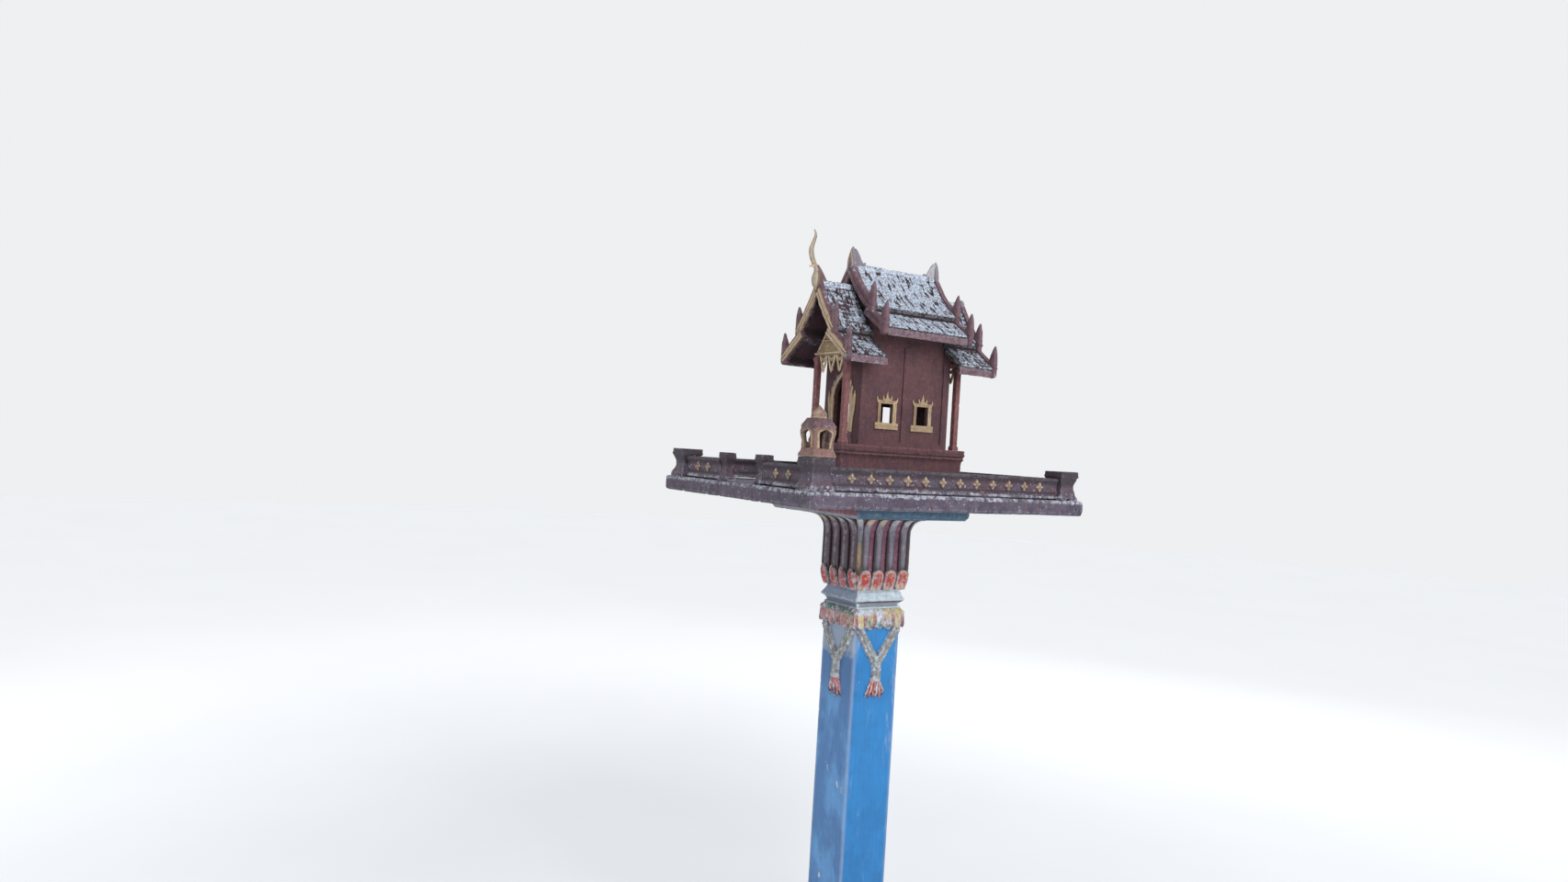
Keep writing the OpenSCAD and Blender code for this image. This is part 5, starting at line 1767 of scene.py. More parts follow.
@dataclass(frozen=True)
class RoofLine:
    """Right half of a two-tier roof seen from its gable, with heights above the deck."""

    ridge: float
    upper: Pair
    lower: Pair
    bends: tuple[Pair, Pair]
    thick: float = 9.0
    step: float = 5.0
    eave_h: float = 17.0

    @property
    def top(self) -> list[Pair]:
        """The upper tier's top line, from the ridge out."""
        x, z = self.upper
        return [(0, self.ridge)] + [(x * a, z + (self.ridge - z) * b) for a, b in self.bends] + [(x, z)]

    @property
    def low(self) -> list[Pair]:
        """The lower tier's top line."""
        x, z = self.upper
        return [(x - 6, z - self.thick - self.step + 4), self.lower]

    def section(self, wall: float) -> tuple[list[Pair], list[Paint]]:
        """Closed outline of the shell and the paint of each of its sides.

        Args:
            wall: Distance of the wall from the middle.

        Returns:
            Points a few millimetres apart and a paint for each.
        """
        top, low, t = self.top, self.low, self.thick
        (ux, uz), (jx, _), (ex, ez) = top[3], low[0], low[1]
        riser = max(jx - 1, wall)
        # Painted shade: the undersides are dark maroon, and the upper tier's eave face, the lip over the
        # lower eave board and the board's foot are near black; the tops under the tiles are near black too.
        dark, soffit_shade = Paint.SOOT, Paint.MAROON_DARK
        half = [(point, dark) for point in top[:3]] + [
            ((ux, uz), dark), ((ux, uz - t * 0.8), soffit_shade), ((jx + 2, uz - t * 0.8), soffit_shade),
            ((jx + 2, at_x(low, jx + 2)), dark), ((ex, ez), dark), ((ex + 0.5, ez - 3.5), Paint.BOARD),
            ((ex, ez - self.eave_h), dark), ((ex - 5, ez - self.eave_h), soffit_shade),
            ((ex - 5, at_x(low, ex - 5) - t), soffit_shade), ((riser, at_x(low, riser) - t), soffit_shade),
            ((riser, at_x(top, riser) - t), soffit_shade)]
        half += [((x, z - t), soffit_shade) for x, z in reversed(top[:3])]
        points, paints = [], []
        for (a, paint), (b, _) in zip(half, half[1:]):
            bit = fine([a, b], 6.0)[:-1]
            points += bit
            paints += [paint] * len(bit)
        mirror = [(-x, z) for x, z in reversed(points[1:])]
        return points + [half[-1][0]] + mirror, paints + paints[::-1]


MAIN = RoofLine(420, (75, 338), (116, 298), ((0.37, 0.53), (0.72, 0.2)))
PORCH = RoofLine(378, (62, 292), (108, 244), ((0.36, 0.58), (0.7, 0.25)))


@dataclass
class HousePart(Assembly):
    """A part of the house on the platform, with the sizes that its parts share."""

    wall: float = 55.0
    main_half: float = 96.0
    porch_end: float = 169.0
    column_y: float = 134.0
    column_w: float = 11.0
    gap: float = 96.0
    lintel_z: float = 1284.0


@dataclass
class Roof(HousePart):
    """Shells with eave boards, tiles in straight columns and pale ridge caps."""

    porch_from: float = 86.0
    tile_w: float = 9.3
    course: float = 10.2
    lap: float = 5.5
    bare_top: float = 9.0

    def tile(self) -> Form:
        """One tile: hollow-backed scale, thicker and rounded at its lower end."""
        w = self.tile_w / 2 + 0.05
        return tongue(
            self.course + self.lap, lambda t: w * (0.74 + 0.26 * min(1.0, t / 0.3)),
            lambda a, s, t: (2.6 - 1.8 * t) * (0.8 + 0.2 * np.sqrt(np.clip(1 - s * s * 0.98, 0, 1))),
            Plane((0, -2.0, 0), (1, 0, 0), (0, 1, 0), (0, 0, 1)), 4, 6)

    def places(self, line: RoofLine, y0: float, y1: float) -> list[Place]:
        """Places of the tiles on both slopes.

        Args:
            line: The roof line.
            y0: Where the tiles start along the ridge.
            y1: Where they end.

        Returns:
            Place, turn and scale of each tile.
        """
        columns = round((y1 - y0) / self.tile_w)
        pitch = (y1 - y0) / columns
        places = []
        for stretch in (line.top, line.low):
            points = np.array(fine(stretch, 1.0))
            along = np.concatenate([[0], np.cumsum(np.linalg.norm(np.diff(points, axis=0), axis=1))])
            for s in np.arange(along[-1] - 1.0, self.bare_top, -self.course):
                (x, z), (bx, bz) = ([np.interp(v, along, points[:, k]) for k in (0, 1)] for v in (s, s - 8))
                run = math.hypot(x - bx, bz - z) or 1.0
                c, v = (x - bx) / run, (bz - z) / run
                for side in (1, -1):
                    lie = Matrix(((0, -c * side, v * side), (side, 0, 0), (0, v, c)))
                    turn = Vector(lie.to_euler("XYZ")[:])
                    for k in range(columns):
                        y = y0 + pitch * (k + 0.5) + BACK
                        places.append((Vector((x * side, y, z + DECK - 0.2)), turn, Vector((1, 1, 1))))
        return places

    def build(self) -> None:
        """Three roofs with their shells, tiles and caps."""
        cap = mirrored([(7.5, -7), (6.5, -2.5), (4.6, 1.6), (3.6, 4.2), (1.6, 5.2), (0, 5.4)])
        half, near, far = self.main_half, self.porch_from, self.porch_end
        spans = (
            ("main_roof", MAIN, "roof_tile_lichen", -half, half, -half, half),
            ("porch_roof", PORCH, "porch_tile_lichen", -far, -near, -far, -half + 1),
            ("rear_roof", PORCH, "porch_tile_lichen", near, far, half - 1, far),
        )
        for k, (node, line, finish, a, b, c, d) in enumerate(spans):
            points, paints = line.section(self.wall)
            shell = drawn(points, spaced(a, b, 6), Plane((0, BACK, DECK), out=(0, 1, 0)), paints)
            self.shop.piece(node + "_boards", shell, "roof_boards", "roof_tile", [node],
                            Weather(0.2, 0.4, 1.8, 0.3, 1, 90 + k))
            self.shop.spread(node + "_tiles", self.tile(), self.places(line, c, d), finish, "roof_tile",
                             0.045, 0.06, 100 + k, weather=Weather(0.2, 0.1, 0.6, 0.3, 0, 5))
            ridge = drawn(cap, spaced(c, d, 3), Plane((0, BACK, line.ridge + DECK), out=(0, 1, 0)))
            self.shop.piece(node + "_cap", ridge, "ridge_lichen", "roof_tile", (),
                            Weather(0.35, 0.6, 1.4, 0.4, 1, 110 + k))


@dataclass
class Bargeboards(HousePart):
    """Boards along the gables, with horns at the ends of both tiers and a leaf over the ridge."""

    thick: float = 12.0
    up: float = 5.2
    down: float = 13.0
    horn_h: float = 45.0
    leaf_h: float = 34.0
    fin_reach: float = 19.0

    def section(self, gilded: bool) -> tuple[list[Pair], list[Paint]]:
        """Section of a board.

        Args:
            gilded: Whether its inner half is gilded.

        Returns:
            Corners of the section and a paint for each.
        """
        t, u, d = self.thick, self.up, self.down
        # Painted shade: on plain boards the inner edge, which faces down into the gable, is the darkest
        # maroon.
        brown, dark, underside_shade = Paint.BOARD, Paint.MAROON, Paint.MAROON_DARK
        if not gilded:
            points = [(-d, 0), (u, 0), (u, t * 0.5), (u, t - 1.4), (u - 1.4, t), (-1.5, t), (-2.6, t - 0.9),
                      (-3.6, t - 0.9), (-4.6, t), (-d + 1.4, t), (-d, t - 1.4), (-d, t * 0.5)]
            return points, [dark, brown, brown, dark, brown, dark, dark, dark, brown, dark, underside_shade, underside_shade]
        points = [(-d, 0), (u, 0), (u, t * 0.5), (u, t - 2.2), (u - 1.2, t - 1.4), (1.6, t - 1.6),
                  (0.4, t - 0.6), (-1.4, t), (-4.4, t), (-5.4, t - 0.8), (-6.6, t - 0.8), (-7.6, t),
                  (-d + 1.2, t), (-d, t - 1.2), (-d, t * 0.5)]
        gold, pale, old = Paint.GOLD, Paint.GOLD_PALE, Paint.GOLD_DARK
        # Painted shade: on gilded boards the inner edge that faces down is dark gold above and near black
        # below.
        return points, [dark] * 4 + [brown, gold] + [gold, pale, gold, old] * 2 + [Paint.SOOT]

    def horn(self, x: float, z: float, plane: Plane, side: int, gilded: bool, scale: float = 1.0) -> Form:
        """Horn that sweeps up from the end of a board, with a stub below.

        Args:
            x: Distance of its root from the middle.
            z: Height of its root.
            plane: The plane of the boards' backs.
            side: 1 on the right, -1 on the left.
            gilded: Whether its face carries a gilded strip.
            scale: Factor on its height.

        Returns:
            The horn.
        """
        t = self.thick / 2
        rows = [(-0.8, -16, 4.6, 4.0), (-1.0, -13, 7.6, 5.4), (-1.0, -7, 9.0, 5.8), (-2.8, -0.5, 11.4, 5.9),
                (-2.4, 5, 11.0, 5.8), (-1.0, 12, 9.8, 5.6), (0.2, 20, 8.4, 5.2), (1.4, 28, 6.6, 4.6),
                (2.6, 35, 4.6, 3.6), (3.4, 41, 2.6, 2.4), (4.0, 45, 0.8, 0.8)]
        body = taper([((a + x) * side, b * scale + z, w, h) for a, b, w, h in rows], plane.lifted(t), 14, 4,
                     0.55, Paint.MAROON if gilded else Paint.BOARD)
        top = plane.origin[2] + z + self.horn_h * scale
        body.repaint(lambda c: Paint.MAROON_GREY if c[2] > top - 13 else None)
        if gilded:
            strip = [((a + x + w * 0.25) * side, b * scale + z, w * 0.36, h * 0.45)
                     for a, b, w, h in rows[1:-4]]
            body.join(taper(strip, plane.lifted(t + 3.4), 8, 4, 0.8, Paint.GOLD_DARK))
        return body

    def leaf(self, z: float, plane: Plane, gilded: bool) -> Form:
        """Pointed leaf over the ridge, with the fin that runs back from it along the ridge.

        Args:
            z: Height of its foot.
            plane: The plane of the boards' backs.
            gilded: Whether gilded ribs run up its face.

        Returns:
            The leaf.
        """
        h, r = self.leaf_h, self.fin_reach
        middle = plane.lifted(self.thick / 2)
        rows = [(0, z - 8, 9.0, 5.0), (0, z, 10.4, 5.7), (0, z + h * 0.24, 9.6, 5.7),
                (0, z + h * 0.52, 6.6, 5.2), (0, z + h * 0.8, 3.2, 4.2), (0, z + h * 0.94, 1.3, 2.2),
                (0, z + h, 0.4, 0.8)]
        base = Paint.GREY_MID if gilded else Paint.GREY
        form = Form().join(taper(rows, middle, 12, 4, 0.7, base))
        side = plane.turned(-1)
        fin = [(r + 1, z - 2), (r + 1, z + 2), (r * 0.74, z + 9), (r * 0.48, z + h * 0.5),
               (r * 0.2, z + h * 0.76), (-2, z + h * 0.9), (-3, z + h * 0.86), (-3, z - 3)]
        form.join(plate(fin, side, 9.0, 1.8, base if gilded else Paint.GREY_PALE))
        foot = [(r - 4, z + 1, 2.6, 3.8), (r + 1.5, z + 2.6, 3.2, 4.0), (r + 4.5, z + 6.4, 1.5, 2.4)]
        form.join(taper(foot, side, 8, 3, 0.8, Paint.GREY))
        for flip in (-1, 1) if gilded else ():
            rib = [(flip * 6.6, z - 6, 1.9, 1.8), (flip * 5.8, z + h * 0.2, 1.9, 1.8),
                   (flip * 2.8, z + h * 0.5, 1.6, 1.6), (0, z + h * 0.76, 1.0, 1.0)]
            form.join(taper(rib, middle.lifted(4.9), 8, 4, 1.0, Paint.GOLD))
        return form

    def peak_fin(self, z: float, plane: Plane) -> Form:
        """Straight-edged fin of the front peak, up to the neck of the horn that stands before it.

        Args:
            z: Height of the ridge.
            plane: The plane of the boards' backs.

        Returns:
            The fin.
        """
        fin = [(12, z - 4), (12, z + 2), (2, z + 16), (-6, z + 27), (-11.5, z + 32), (-14, z + 31),
               (-11, z + 14), (-11, z - 4)]
        return plate(fin, plane.turned(-1), 8.0, 1.6, Paint.MAROON_GREY)

    def gable(self, line: RoofLine, plane: Plane, gilded: bool, leafed: bool) -> Form:
        """All the boards and horns of one gable.

        Args:
            line: The roof line.
            plane: The plane of the boards' backs.
            gilded: Whether the inner bands are gilded.
            leafed: Whether a leaf stands over the ridge, or else only a stub is left.

        Returns:
            The boards.
        """
        section, paints = self.section(gilded)
        top, low, z = line.top, line.low, line.ridge
        (ux, uz), (jx, _), (ex, ez) = top[3], low[0], low[1]
        upper = mirrored(fine([(-ux - 1, uz - 1.2), (-top[2][0], top[2][1]), (-top[1][0], top[1][1]), (0, z)],
                              5.0))
        form = Form().join(sweep(upper, section, plane, paints))
        for side in (-1, 1):
            band = fine([(side * (jx - 10), at_x(low, jx - 10)), (side * (ex + 1), ez - 0.7)], 5.0)
            form.join(sweep(band[::side], section, plane, paints))
            form.join(self.horn(ux - 4, uz, plane, side, gilded))
            form.join(self.horn(ex - 4, ez, plane, side, gilded, 1.02))
            for share in (0.3, 0.56, 0.84) if gilded else ():
                form.join(self.tooth(line, share, plane, side))
        if gilded:
            return form.join(self.peak_fin(z, plane))
        if leafed:
            return form.join(self.leaf(z + 2, plane, plane.out[1] < 0))
        stub = [(0, z - 8, 8, 5.2), (1, z + 2, 6.5, 5.2), (0.6, z + 8, 4.6, 4.0), (0.8, z + 11, 1.6, 1.6)]
        return form.join(taper(stub, plane.lifted(self.thick / 2), 12, 3, 0.7, Paint.GREY))

    def tooth(self, line: RoofLine, share: float, plane: Plane, side: int) -> Form:
        """Flame-shaped tooth on the inner edge of the upper boards.

        Args:
            line: The roof line.
            share: Its place as a share of the way out.
            plane: The plane of the boards' backs.
            side: 1 on the right, -1 on the left.

        Returns:
            The tooth.
        """
        x = line.upper[0] * share
        z = at_x(line.top, x)
        k = (at_x(line.top, x + 2) - z) / 2
        d = np.array([1, k]) / math.hypot(1, k)
        inward = np.array([d[1], -d[0]])
        root = np.array([x, z]) + inward * (self.down - 4)
        rows = []
        for s, w, t in ((-12, 1.6, 2.2), (-5, 3.6, 2.8), (3, 3.6, 2.6), (9, 2.0, 2.0), (13, 0.5, 0.8)):
            p = root + d * s + inward * (0.6 + 0.03 * (s + 9) ** 1.6)
            rows.append((p[0] * side, p[1], w, t))
        return taper(rows, plane.lifted(self.thick - 2.8), 8, 3, 0.8, Paint.GOLD)

    def build(self) -> None:
        """The four gables' boards."""
        ends = (
            ("porch_boards", "bargeboard_porch", PORCH, self.porch_end, -1.0, True, False),
            ("main_front_boards", "bargeboard_main_front", MAIN, self.main_half, -1.0, False, True),
            ("main_back_boards", "bargeboard_main_back", MAIN, self.main_half, 1.0, False, True),
            ("rear_boards", "bargeboard_rear", PORCH, self.porch_end, 1.0, False, False),
        )
        for k, (name, node, line, end, way, gilded, leafed) in enumerate(ends):
            form = self.gable(line, Plane((0, end * way + BACK, DECK), out=(0, way, 0)), gilded, leafed)
            self.shop.piece(name, form, "board_paint", "gable_paint", [node],
                            Weather(0.25, 0.4, 0.7, 0.28, 0, 120 + k))


@dataclass
class Chofa(Assembly):
    """Gilded horn of the front peak: a belly, a beak and a thin neck in an S."""

    front: float = -151.0

    def build(self) -> None:
        """The horn as one piece, in side view with its across axis pointing forward."""
        plane = Plane((0, self.front, DECK), (0, -1, 0), out=(1, 0, 0))
        body = [(0.4, 362, 0.8, 1.0), (0.6, 367, 4.6, 4.4), (0.8, 374, 8.4, 7.2), (0.4, 381, 9.8, 8.2),
                (0.4, 388, 9.0, 7.8), (0.8, 395, 6.6, 6.2), (2.2, 402, 4.6, 4.4), (5.4, 408, 4.2, 3.8),
                (9.0, 414, 4.8, 3.6), (12.4, 421, 5.2, 3.4), (15.0, 430, 5.1, 3.2), (15.4, 438, 4.6, 3.0),
                (13.2, 446, 3.9, 2.8), (10.4, 454, 3.2, 2.5), (8.0, 462, 2.6, 2.1), (8.2, 468, 2.0, 1.7),
                (10.4, 472.4, 1.2, 1.1), (12.2, 474, 0.5, 0.5)]
        form = Form().join(taper(body, plane, 14, 4, 0.9, Paint.GOLD_GREY))
        beak = [(3.0, 405, 2.6, 2.6), (8.5, 407, 2.6, 2.6), (13.0, 406.5, 2.2, 2.1), (16.0, 405.5, 1.6, 1.5),
                (17.6, 403.5, 0.5, 0.5)]
        form.join(taper(beak, plane, 10, 4, 1.0, Paint.GOLD_PALE))
        rib = [(a - w * 0.5, b, 0.8, 0.9) for a, b, w, _ in body[8:-3]]
        for flip in (-1, 1):
            form.join(taper(rib, plane.lifted(flip * 2.0), 6, 3, 1.0, Paint.GOLD_DARK))
        form.repaint(lambda c: Paint.GOLD_DARK if c[1] > self.front - 1.5 and c[2] < DECK + 404 else None)
        self.shop.piece("peak_horn", form, "gold_and_paint", "gilding", ["chofa"],
                        Weather(0.12, 0.25, 0.3, 0.2, 0, 131))


@dataclass
class Pediment(HousePart):
    """Carved gilded triangle over a pair of columns, with a fringe of pierced points."""

    half: float = 53.5
    lintel_h: float = 8.0
    rise: float = 70.0
    beam: float = 28.0

    def panel(self, plane: Plane) -> Form:
        """The triangle: a frame, a plain top, a carved line and a band of diamonds.

        Args:
            plane: The plane of its back.

        Returns:
            The triangle.
        """
        foot = self.half - 3

        def rise(a: np.ndarray, s: np.ndarray, t: float) -> np.ndarray:
            """Relief of the carving.

            Args:
                a: Distances from the middle.
                s: Shares of the half width.
                t: Share of the height.

            Returns:
                Heights out of the plane.
            """
            edge = (1 - np.abs(s)) * foot * (1 - t)
            frame = np.where(edge < 5.5, 9.0 - 1.2 * np.abs(edge - 2.6) / 2.6, 5.6)
            z = t * self.rise
            inner = np.zeros_like(a)
            if z < 3.6:
                inner += 2.6 * math.sin(math.pi * z / 3.6)
            if 4.6 < z < 21.0:
                u, v = (a / 8.4) % 1.0 - 0.5, (z - 4.6) / 16.4 - 0.5
                diamond = 0.5 - (np.abs(u) + abs(v))
                inner += np.where(diamond > 0, 0.7 + 2.4 * np.sin(np.clip(diamond, 0, 0.5) * 12.0) ** 2, -0.7)
            for low, high, step in ((21.8, 24.6, 1.8), (24.6, 27.0, -1.6), (27.0, 29.0, 1.4)):
                inner += step if low < z < high else 0
            if z > 31.0:
                inner += 0.9 * np.exp(-((np.abs(a) - (self.rise - z) * 0.45) / 1.3) ** 2)
            return frame + np.where(edge < 5.5, 0, inner)

        def paint(t: float, s: float) -> Paint:
            """Pale carving and frame round a darker top.

            Args:
                t: Share of the height.
                s: Share of the half width.

            Returns:
                The paint there.
            """
            z = t * self.rise
            pale = (1 - abs(s)) * foot * (1 - t) < 4.5 or z < 21 or 21.8 < z < 24.6 or 27 < z < 29.5
            return Paint.GOLD_PALE if pale else Paint.GOLD

        return tongue(self.rise, lambda t: max(0.5, foot * (1 - t)), rise, plane, 70, 108, paint)

    def pendant(self, x: float, w: float, plane: Plane) -> Form:
        """One hanging point: a broad border round a heart-shaped hole.

        Args:
            x: Place across the plane.
            w: Width.
            plane: The plane of its back.

        Returns:
            The point.
        """
        form = Form()
        rim = [(-2.8, 0.2), (2.6, 0.2), (2.6, 2.2), (1.2, 3.2), (-1.2, 3.2), (-2.8, 2.2)]
        for side in (-1, 1):
            line = fine([(x + side * (w / 2 - 2.7), 2), (x + side * 1.0, -27)], 3.0)
            form.join(sweep(line, rim, plane, Paint.GOLD_PALE))
        lobe = [(-2.4, 0.6), (2.2, 0.6), (2.0, 2.2), (0, 2.8), (-2.2, 2.2)]
        for side in (-1, 1):
            line = [(x + side * (w / 2 - 3.4), -5.0), (x + side * w * 0.28, -2.2),
                    (x + side * w * 0.12, -3.2), (x, -8.6)]
            form.join(sweep(flowing(line, 3), lobe, plane, Paint.GOLD))
        tip = [(x, -22, 2.6, 1.6), (x, -26, 3.0, 2.0), (x, -30.5, 0.6, 0.6)]
        return form.join(taper(tip, plane.lifted(1.6), 8, 3, 1.0, Paint.GOLD_PALE))

    def make(self, way: float) -> Form:
        """One whole pediment.

        Args:
            way: -1 at the front, 1 at the rear.

        Returns:
            The pediment.
        """
        y, w = BACK + way * self.column_y, self.column_w
        over = self.lintel_z + self.lintel_h - 0.5
        back, face, hang = (Plane((0, y + way * out, z), out=(0, way, 0))
                            for out, z in ((-w / 2, self.lintel_z), (-4.5, over), (0.4, self.lintel_z)))
        lintel = [(0, 0.5), (w - 2.0, 0.5), (w - 2.0, 1.6), (w - 2.2, 3.0), (w - 2.0, 4.2), (w, 5.0),
                  (w, 7.6), (w - 1.5, 8.4), (0, 8.4)]
        paints = [Paint.GOLD_DARK] * 4 + [Paint.GOLD_PALE] * 3 + [Paint.GOLD, Paint.MAROON]
        form = drawn(lintel, np.linspace(-self.half, self.half, 28), back.turned(), paints)
        form.join(self.panel(face))
        fringe = (self.gap - w - 4) / 3
        for i in (-1, 0, 1):
            form.join(self.pendant(i * fringe, fringe, hang))
        length = self.beam - w / 2 + 1
        rest = [(0, self.lintel_z + 0.5), (0, self.lintel_z + self.lintel_h)]
        beam = block(3, length / 2, rest, 4, (1.5,), Paint.RED_BROWN)
        for side in (-1, 1):
            form.join(beam, Matrix.Translation((side * self.gap / 2, y - way * (w / 2 + length / 2 - 1), 0)))
        return form

    def build(self) -> None:
        """Both pediments."""
        for k, (name, way) in enumerate((("front", -1.0), ("rear", 1.0))):
            self.shop.piece("carved_pediment_" + name, self.make(way), "gold_and_paint", "gilding",
                            ["pediment_" + name], Weather(0.15, 0.2, 0.7, 0.3, 0, 140 + k))


@dataclass
class House(HousePart):
    """Plinth, columns, walls and the gilded frames of the openings."""

    front: float = -76.0
    rear: float = 136.0
    floor: float = 1122.0
    plinth_h: float = 82.0
    ledge: float = 11.0
    door_w: float = 54.0
    door_side_h: float = 88.0
    door_point_h: float = 40.0
    frame_w: float = 9.0
    window_w: float = 30.0
    window_h: float = 36.0
    sill: float = 43.0
    offset: float = 43.0

    def plinth(self) -> None:
        """Moulded plinth with a foot, a cove, a waist, a torus and a lip."""
        z, top = DECK, DECK + self.plinth_h
        arc = [(1 - math.sin(math.radians(22.5 * i)), 1 - math.cos(math.radians(22.5 * i))) for i in range(5)]
        side = [(12, z), (12, z + 12), (9, z + 14)] + [(-5 + 13 * a, z + 16 + 14 * b) for a, b in arc]
        side += [(-5, top - 34)] + [(-5 + 5 * b, top - 30 + 12 * (1 - a)) for a, b in arc]
        side += [(-2, top - 15), (-2, top - 13), (0, top - 12), (0, top - 1), (-1, top)]
        form = block(self.wall + self.ledge, self.column_y + self.column_w / 2 + self.ledge, side, 4.0,
                     (3, 7, 12, 18, 26, 36, 48))
        placed = Form().join(form, Matrix.Translation((0, BACK, 0)))
        self.shop.piece("moulded_plinth", placed, "wall_red", "wall_paint", ["house_plinth"],
                        Weather(0.25, 0.5, 2.2, 0.3, 1, 150))

    def columns(self) -> None:
        """Two pairs of square columns."""
        h = self.lintel_z - self.floor
        side = [(1.4, 0), (2, 1.5), (2, 5.5), (1.2, 6.5), (1.2, 7.5), (0, 9.5), (0, h - 10), (1, h - 8.5),
                (1.0, h - 7), (2, h - 5), (2, h)]
        column = block(self.column_w / 2, self.column_w / 2, [(a, self.floor + b) for a, b in side], 2.7,
                       (2.0,), Paint.RED_BROWN)
        for way, node, name in ((-1, "porch_columns", "front_columns"), (1, "rear_columns", "back_columns")):
            form = Form()
            for x in (-1, 1):
                form.join(column, Matrix.Translation((x * self.gap / 2, BACK + way * self.column_y, 0)))
            self.shop.piece(name, form, "column_red", "wall_paint", [node],
                            Weather(0.2, 0.3, 0.8, 0.2, 1, 160 + way))

    def door(self, plane: Plane) -> Form:
        """Pointed gilded frame with a flame at each shoulder.

        Args:
            plane: The wall's face, with its origin in the middle of the threshold.

        Returns:
            The frame.
        """
        w, s, p = self.door_w / 2, self.door_side_h, self.door_point_h
        arch = [(w, s), (w * 0.9, s + p * 0.28), (w * 0.68, s + p * 0.56), (w * 0.36, s + p * 0.8),
                (0, s + p)]
        path = mirrored(fine([(w, 0.3), (w, s)], 4.0)[:-1] + [(a, b) for a, b in flowing(arch, 4)])
        section = [(0.0, 0), (0.0, 3.4), (-1.2, 4.2), (-3.4, 4.2), (-4.2, 3.0), (-5.2, 3.2), (-7.6, 3.6),
                   (-8.8, 2.6), (-9.2, 0)]
        paints = [Paint.GOLD_PALE] * 3 + [Paint.GOLD_DARK] * 2 + [Paint.GREY] * 2 + [Paint.MAROON_GREY] * 2
        form = Form().join(sweep(path, section, plane, paints))
        form.repaint(lambda c: Paint.MAROON if c[2] < plane.origin[2] + 24 else None)
        lift = plane.lifted(1.8)
        flames = [
            [(w + 4.4, 22, 4.4, 2.0), (w + 4.8, 26, 5.0, 2.2), (w + 5.6, 46, 5.8, 2.2),
             (w + 7.0, s - 26, 8.0, 2.3), (w + 7.6, s - 12, 9.0, 2.3)],
            [(w + 3.6, s - 14, 6.0, 2.4), (w + 4.2, s - 2, 5.2, 2.4), (w + 3.4, s + 9, 2.8, 2.2),
             (w + 2.6, s + 18, 0.5, 0.6)],
            [(w + 10.0, s - 18, 5.0, 2.3), (w + 12.6, s - 6, 4.2, 2.3), (w + 13.6, s + 4, 2.2, 1.8),
             (w + 13.8, s + 12, 0.4, 0.6)],
        ]
        for share, length in ((0.2, 11.0), (0.5, 10.0), (0.78, 8.0)):
            x, z = w * (1 - share * share) + 2.5, s + p * share + 3
            flames.append([(x, z - 5, 2.8, 2.0), (x + 3.0, z, 3.0, 2.0),
                           (x + 4.2, z + length * 0.6, 1.7, 1.5), (x + 3.6, z + length, 0.3, 0.5)])
        for side, rows in product((-1, 1), flames):
            form.join(taper([(a * side, b, c, d) for a, b, c, d in rows], lift, 10, 4, 0.7, Paint.GOLD))
        peak = [(0, s + p - 1, 5.0, 2.3), (0, s + p + 5, 4.2, 2.4), (0, s + p + 12, 1.8, 1.8),
                (0, s + p + 19, 0.3, 0.5)]
        return form.join(taper(peak, lift, 10, 4, 0.8, Paint.GOLD))

    def window(self, plane: Plane) -> Form:
        """Window surround with a moulded sill and a pointed crest.

        Args:
            plane: The wall's face, with its origin at the foot of the opening.

        Returns:
            The surround.
        """
        w, h, f = self.window_w / 2, self.window_h, self.frame_w
        section = [(0.0, 0), (0.0, 3.0), (-1.0, 3.9), (-2.4, 3.9), (-3.2, 2.8), (-5.4, 3.0), (-6.6, 3.6),
                   (-7.0, 0)]
        paints = [Paint.GOLD_PALE, Paint.GOLD_PALE, Paint.GOLD, Paint.GOLD_DARK, Paint.GOLD, Paint.GOLD,
                  Paint.RED_BROWN, Paint.RED_BROWN]
        form = Form().join(sweep(fine([(w, -0.5), (w, h), (-w, h), (-w, -0.5)], 4), section, plane, paints))
        sill = [(0, -f - 3), (3.4, -f - 3), (3.9, -f - 1), (3.2, -f + 1.2), (3.9, -f + 3), (4.0, -1.2),
                (3.2, 0), (0, 0)]
        form.join(drawn(sill, np.linspace(-w - f - 3, w + f + 3, 16), plane.turned(), Paint.GOLD))
        lift = plane.lifted(1.8)
        curls = ((w + f - 3, h + 3, 3.0, 10), (w * 0.55, h + f - 2, 1.6, 9))
        for side, (x, z, lean, length) in product((-1, 1), curls):
            curl = [((x - 3) * side, z - 2, 3.0, 2.0), (x * side, z + 1, 2.8, 2.0),
                    ((x + lean) * side, z + length * 0.6, 1.5, 1.6),
                    ((x + lean * 0.8) * side, z + length, 0.3, 0.5)]
            form.join(taper(curl, lift, 8, 3, 0.8, Paint.GOLD))
        crest = [(0, h + 2, 7, 2.0), (0, h + f - 1, 5.4, 2.3), (0, h + f + 6, 2.6, 2.0),
                 (0, h + f + 14, 0.3, 0.5)]
        return form.join(taper(crest, lift, 10, 4, 0.8, Paint.GOLD))

    def build(self) -> None:
        """Plinth, columns, walls and frames."""
        self.plinth()
        self.columns()
        self.shop.dress(["wall_front", "wall_back", "wall_left", "wall_right"], "wall_red")
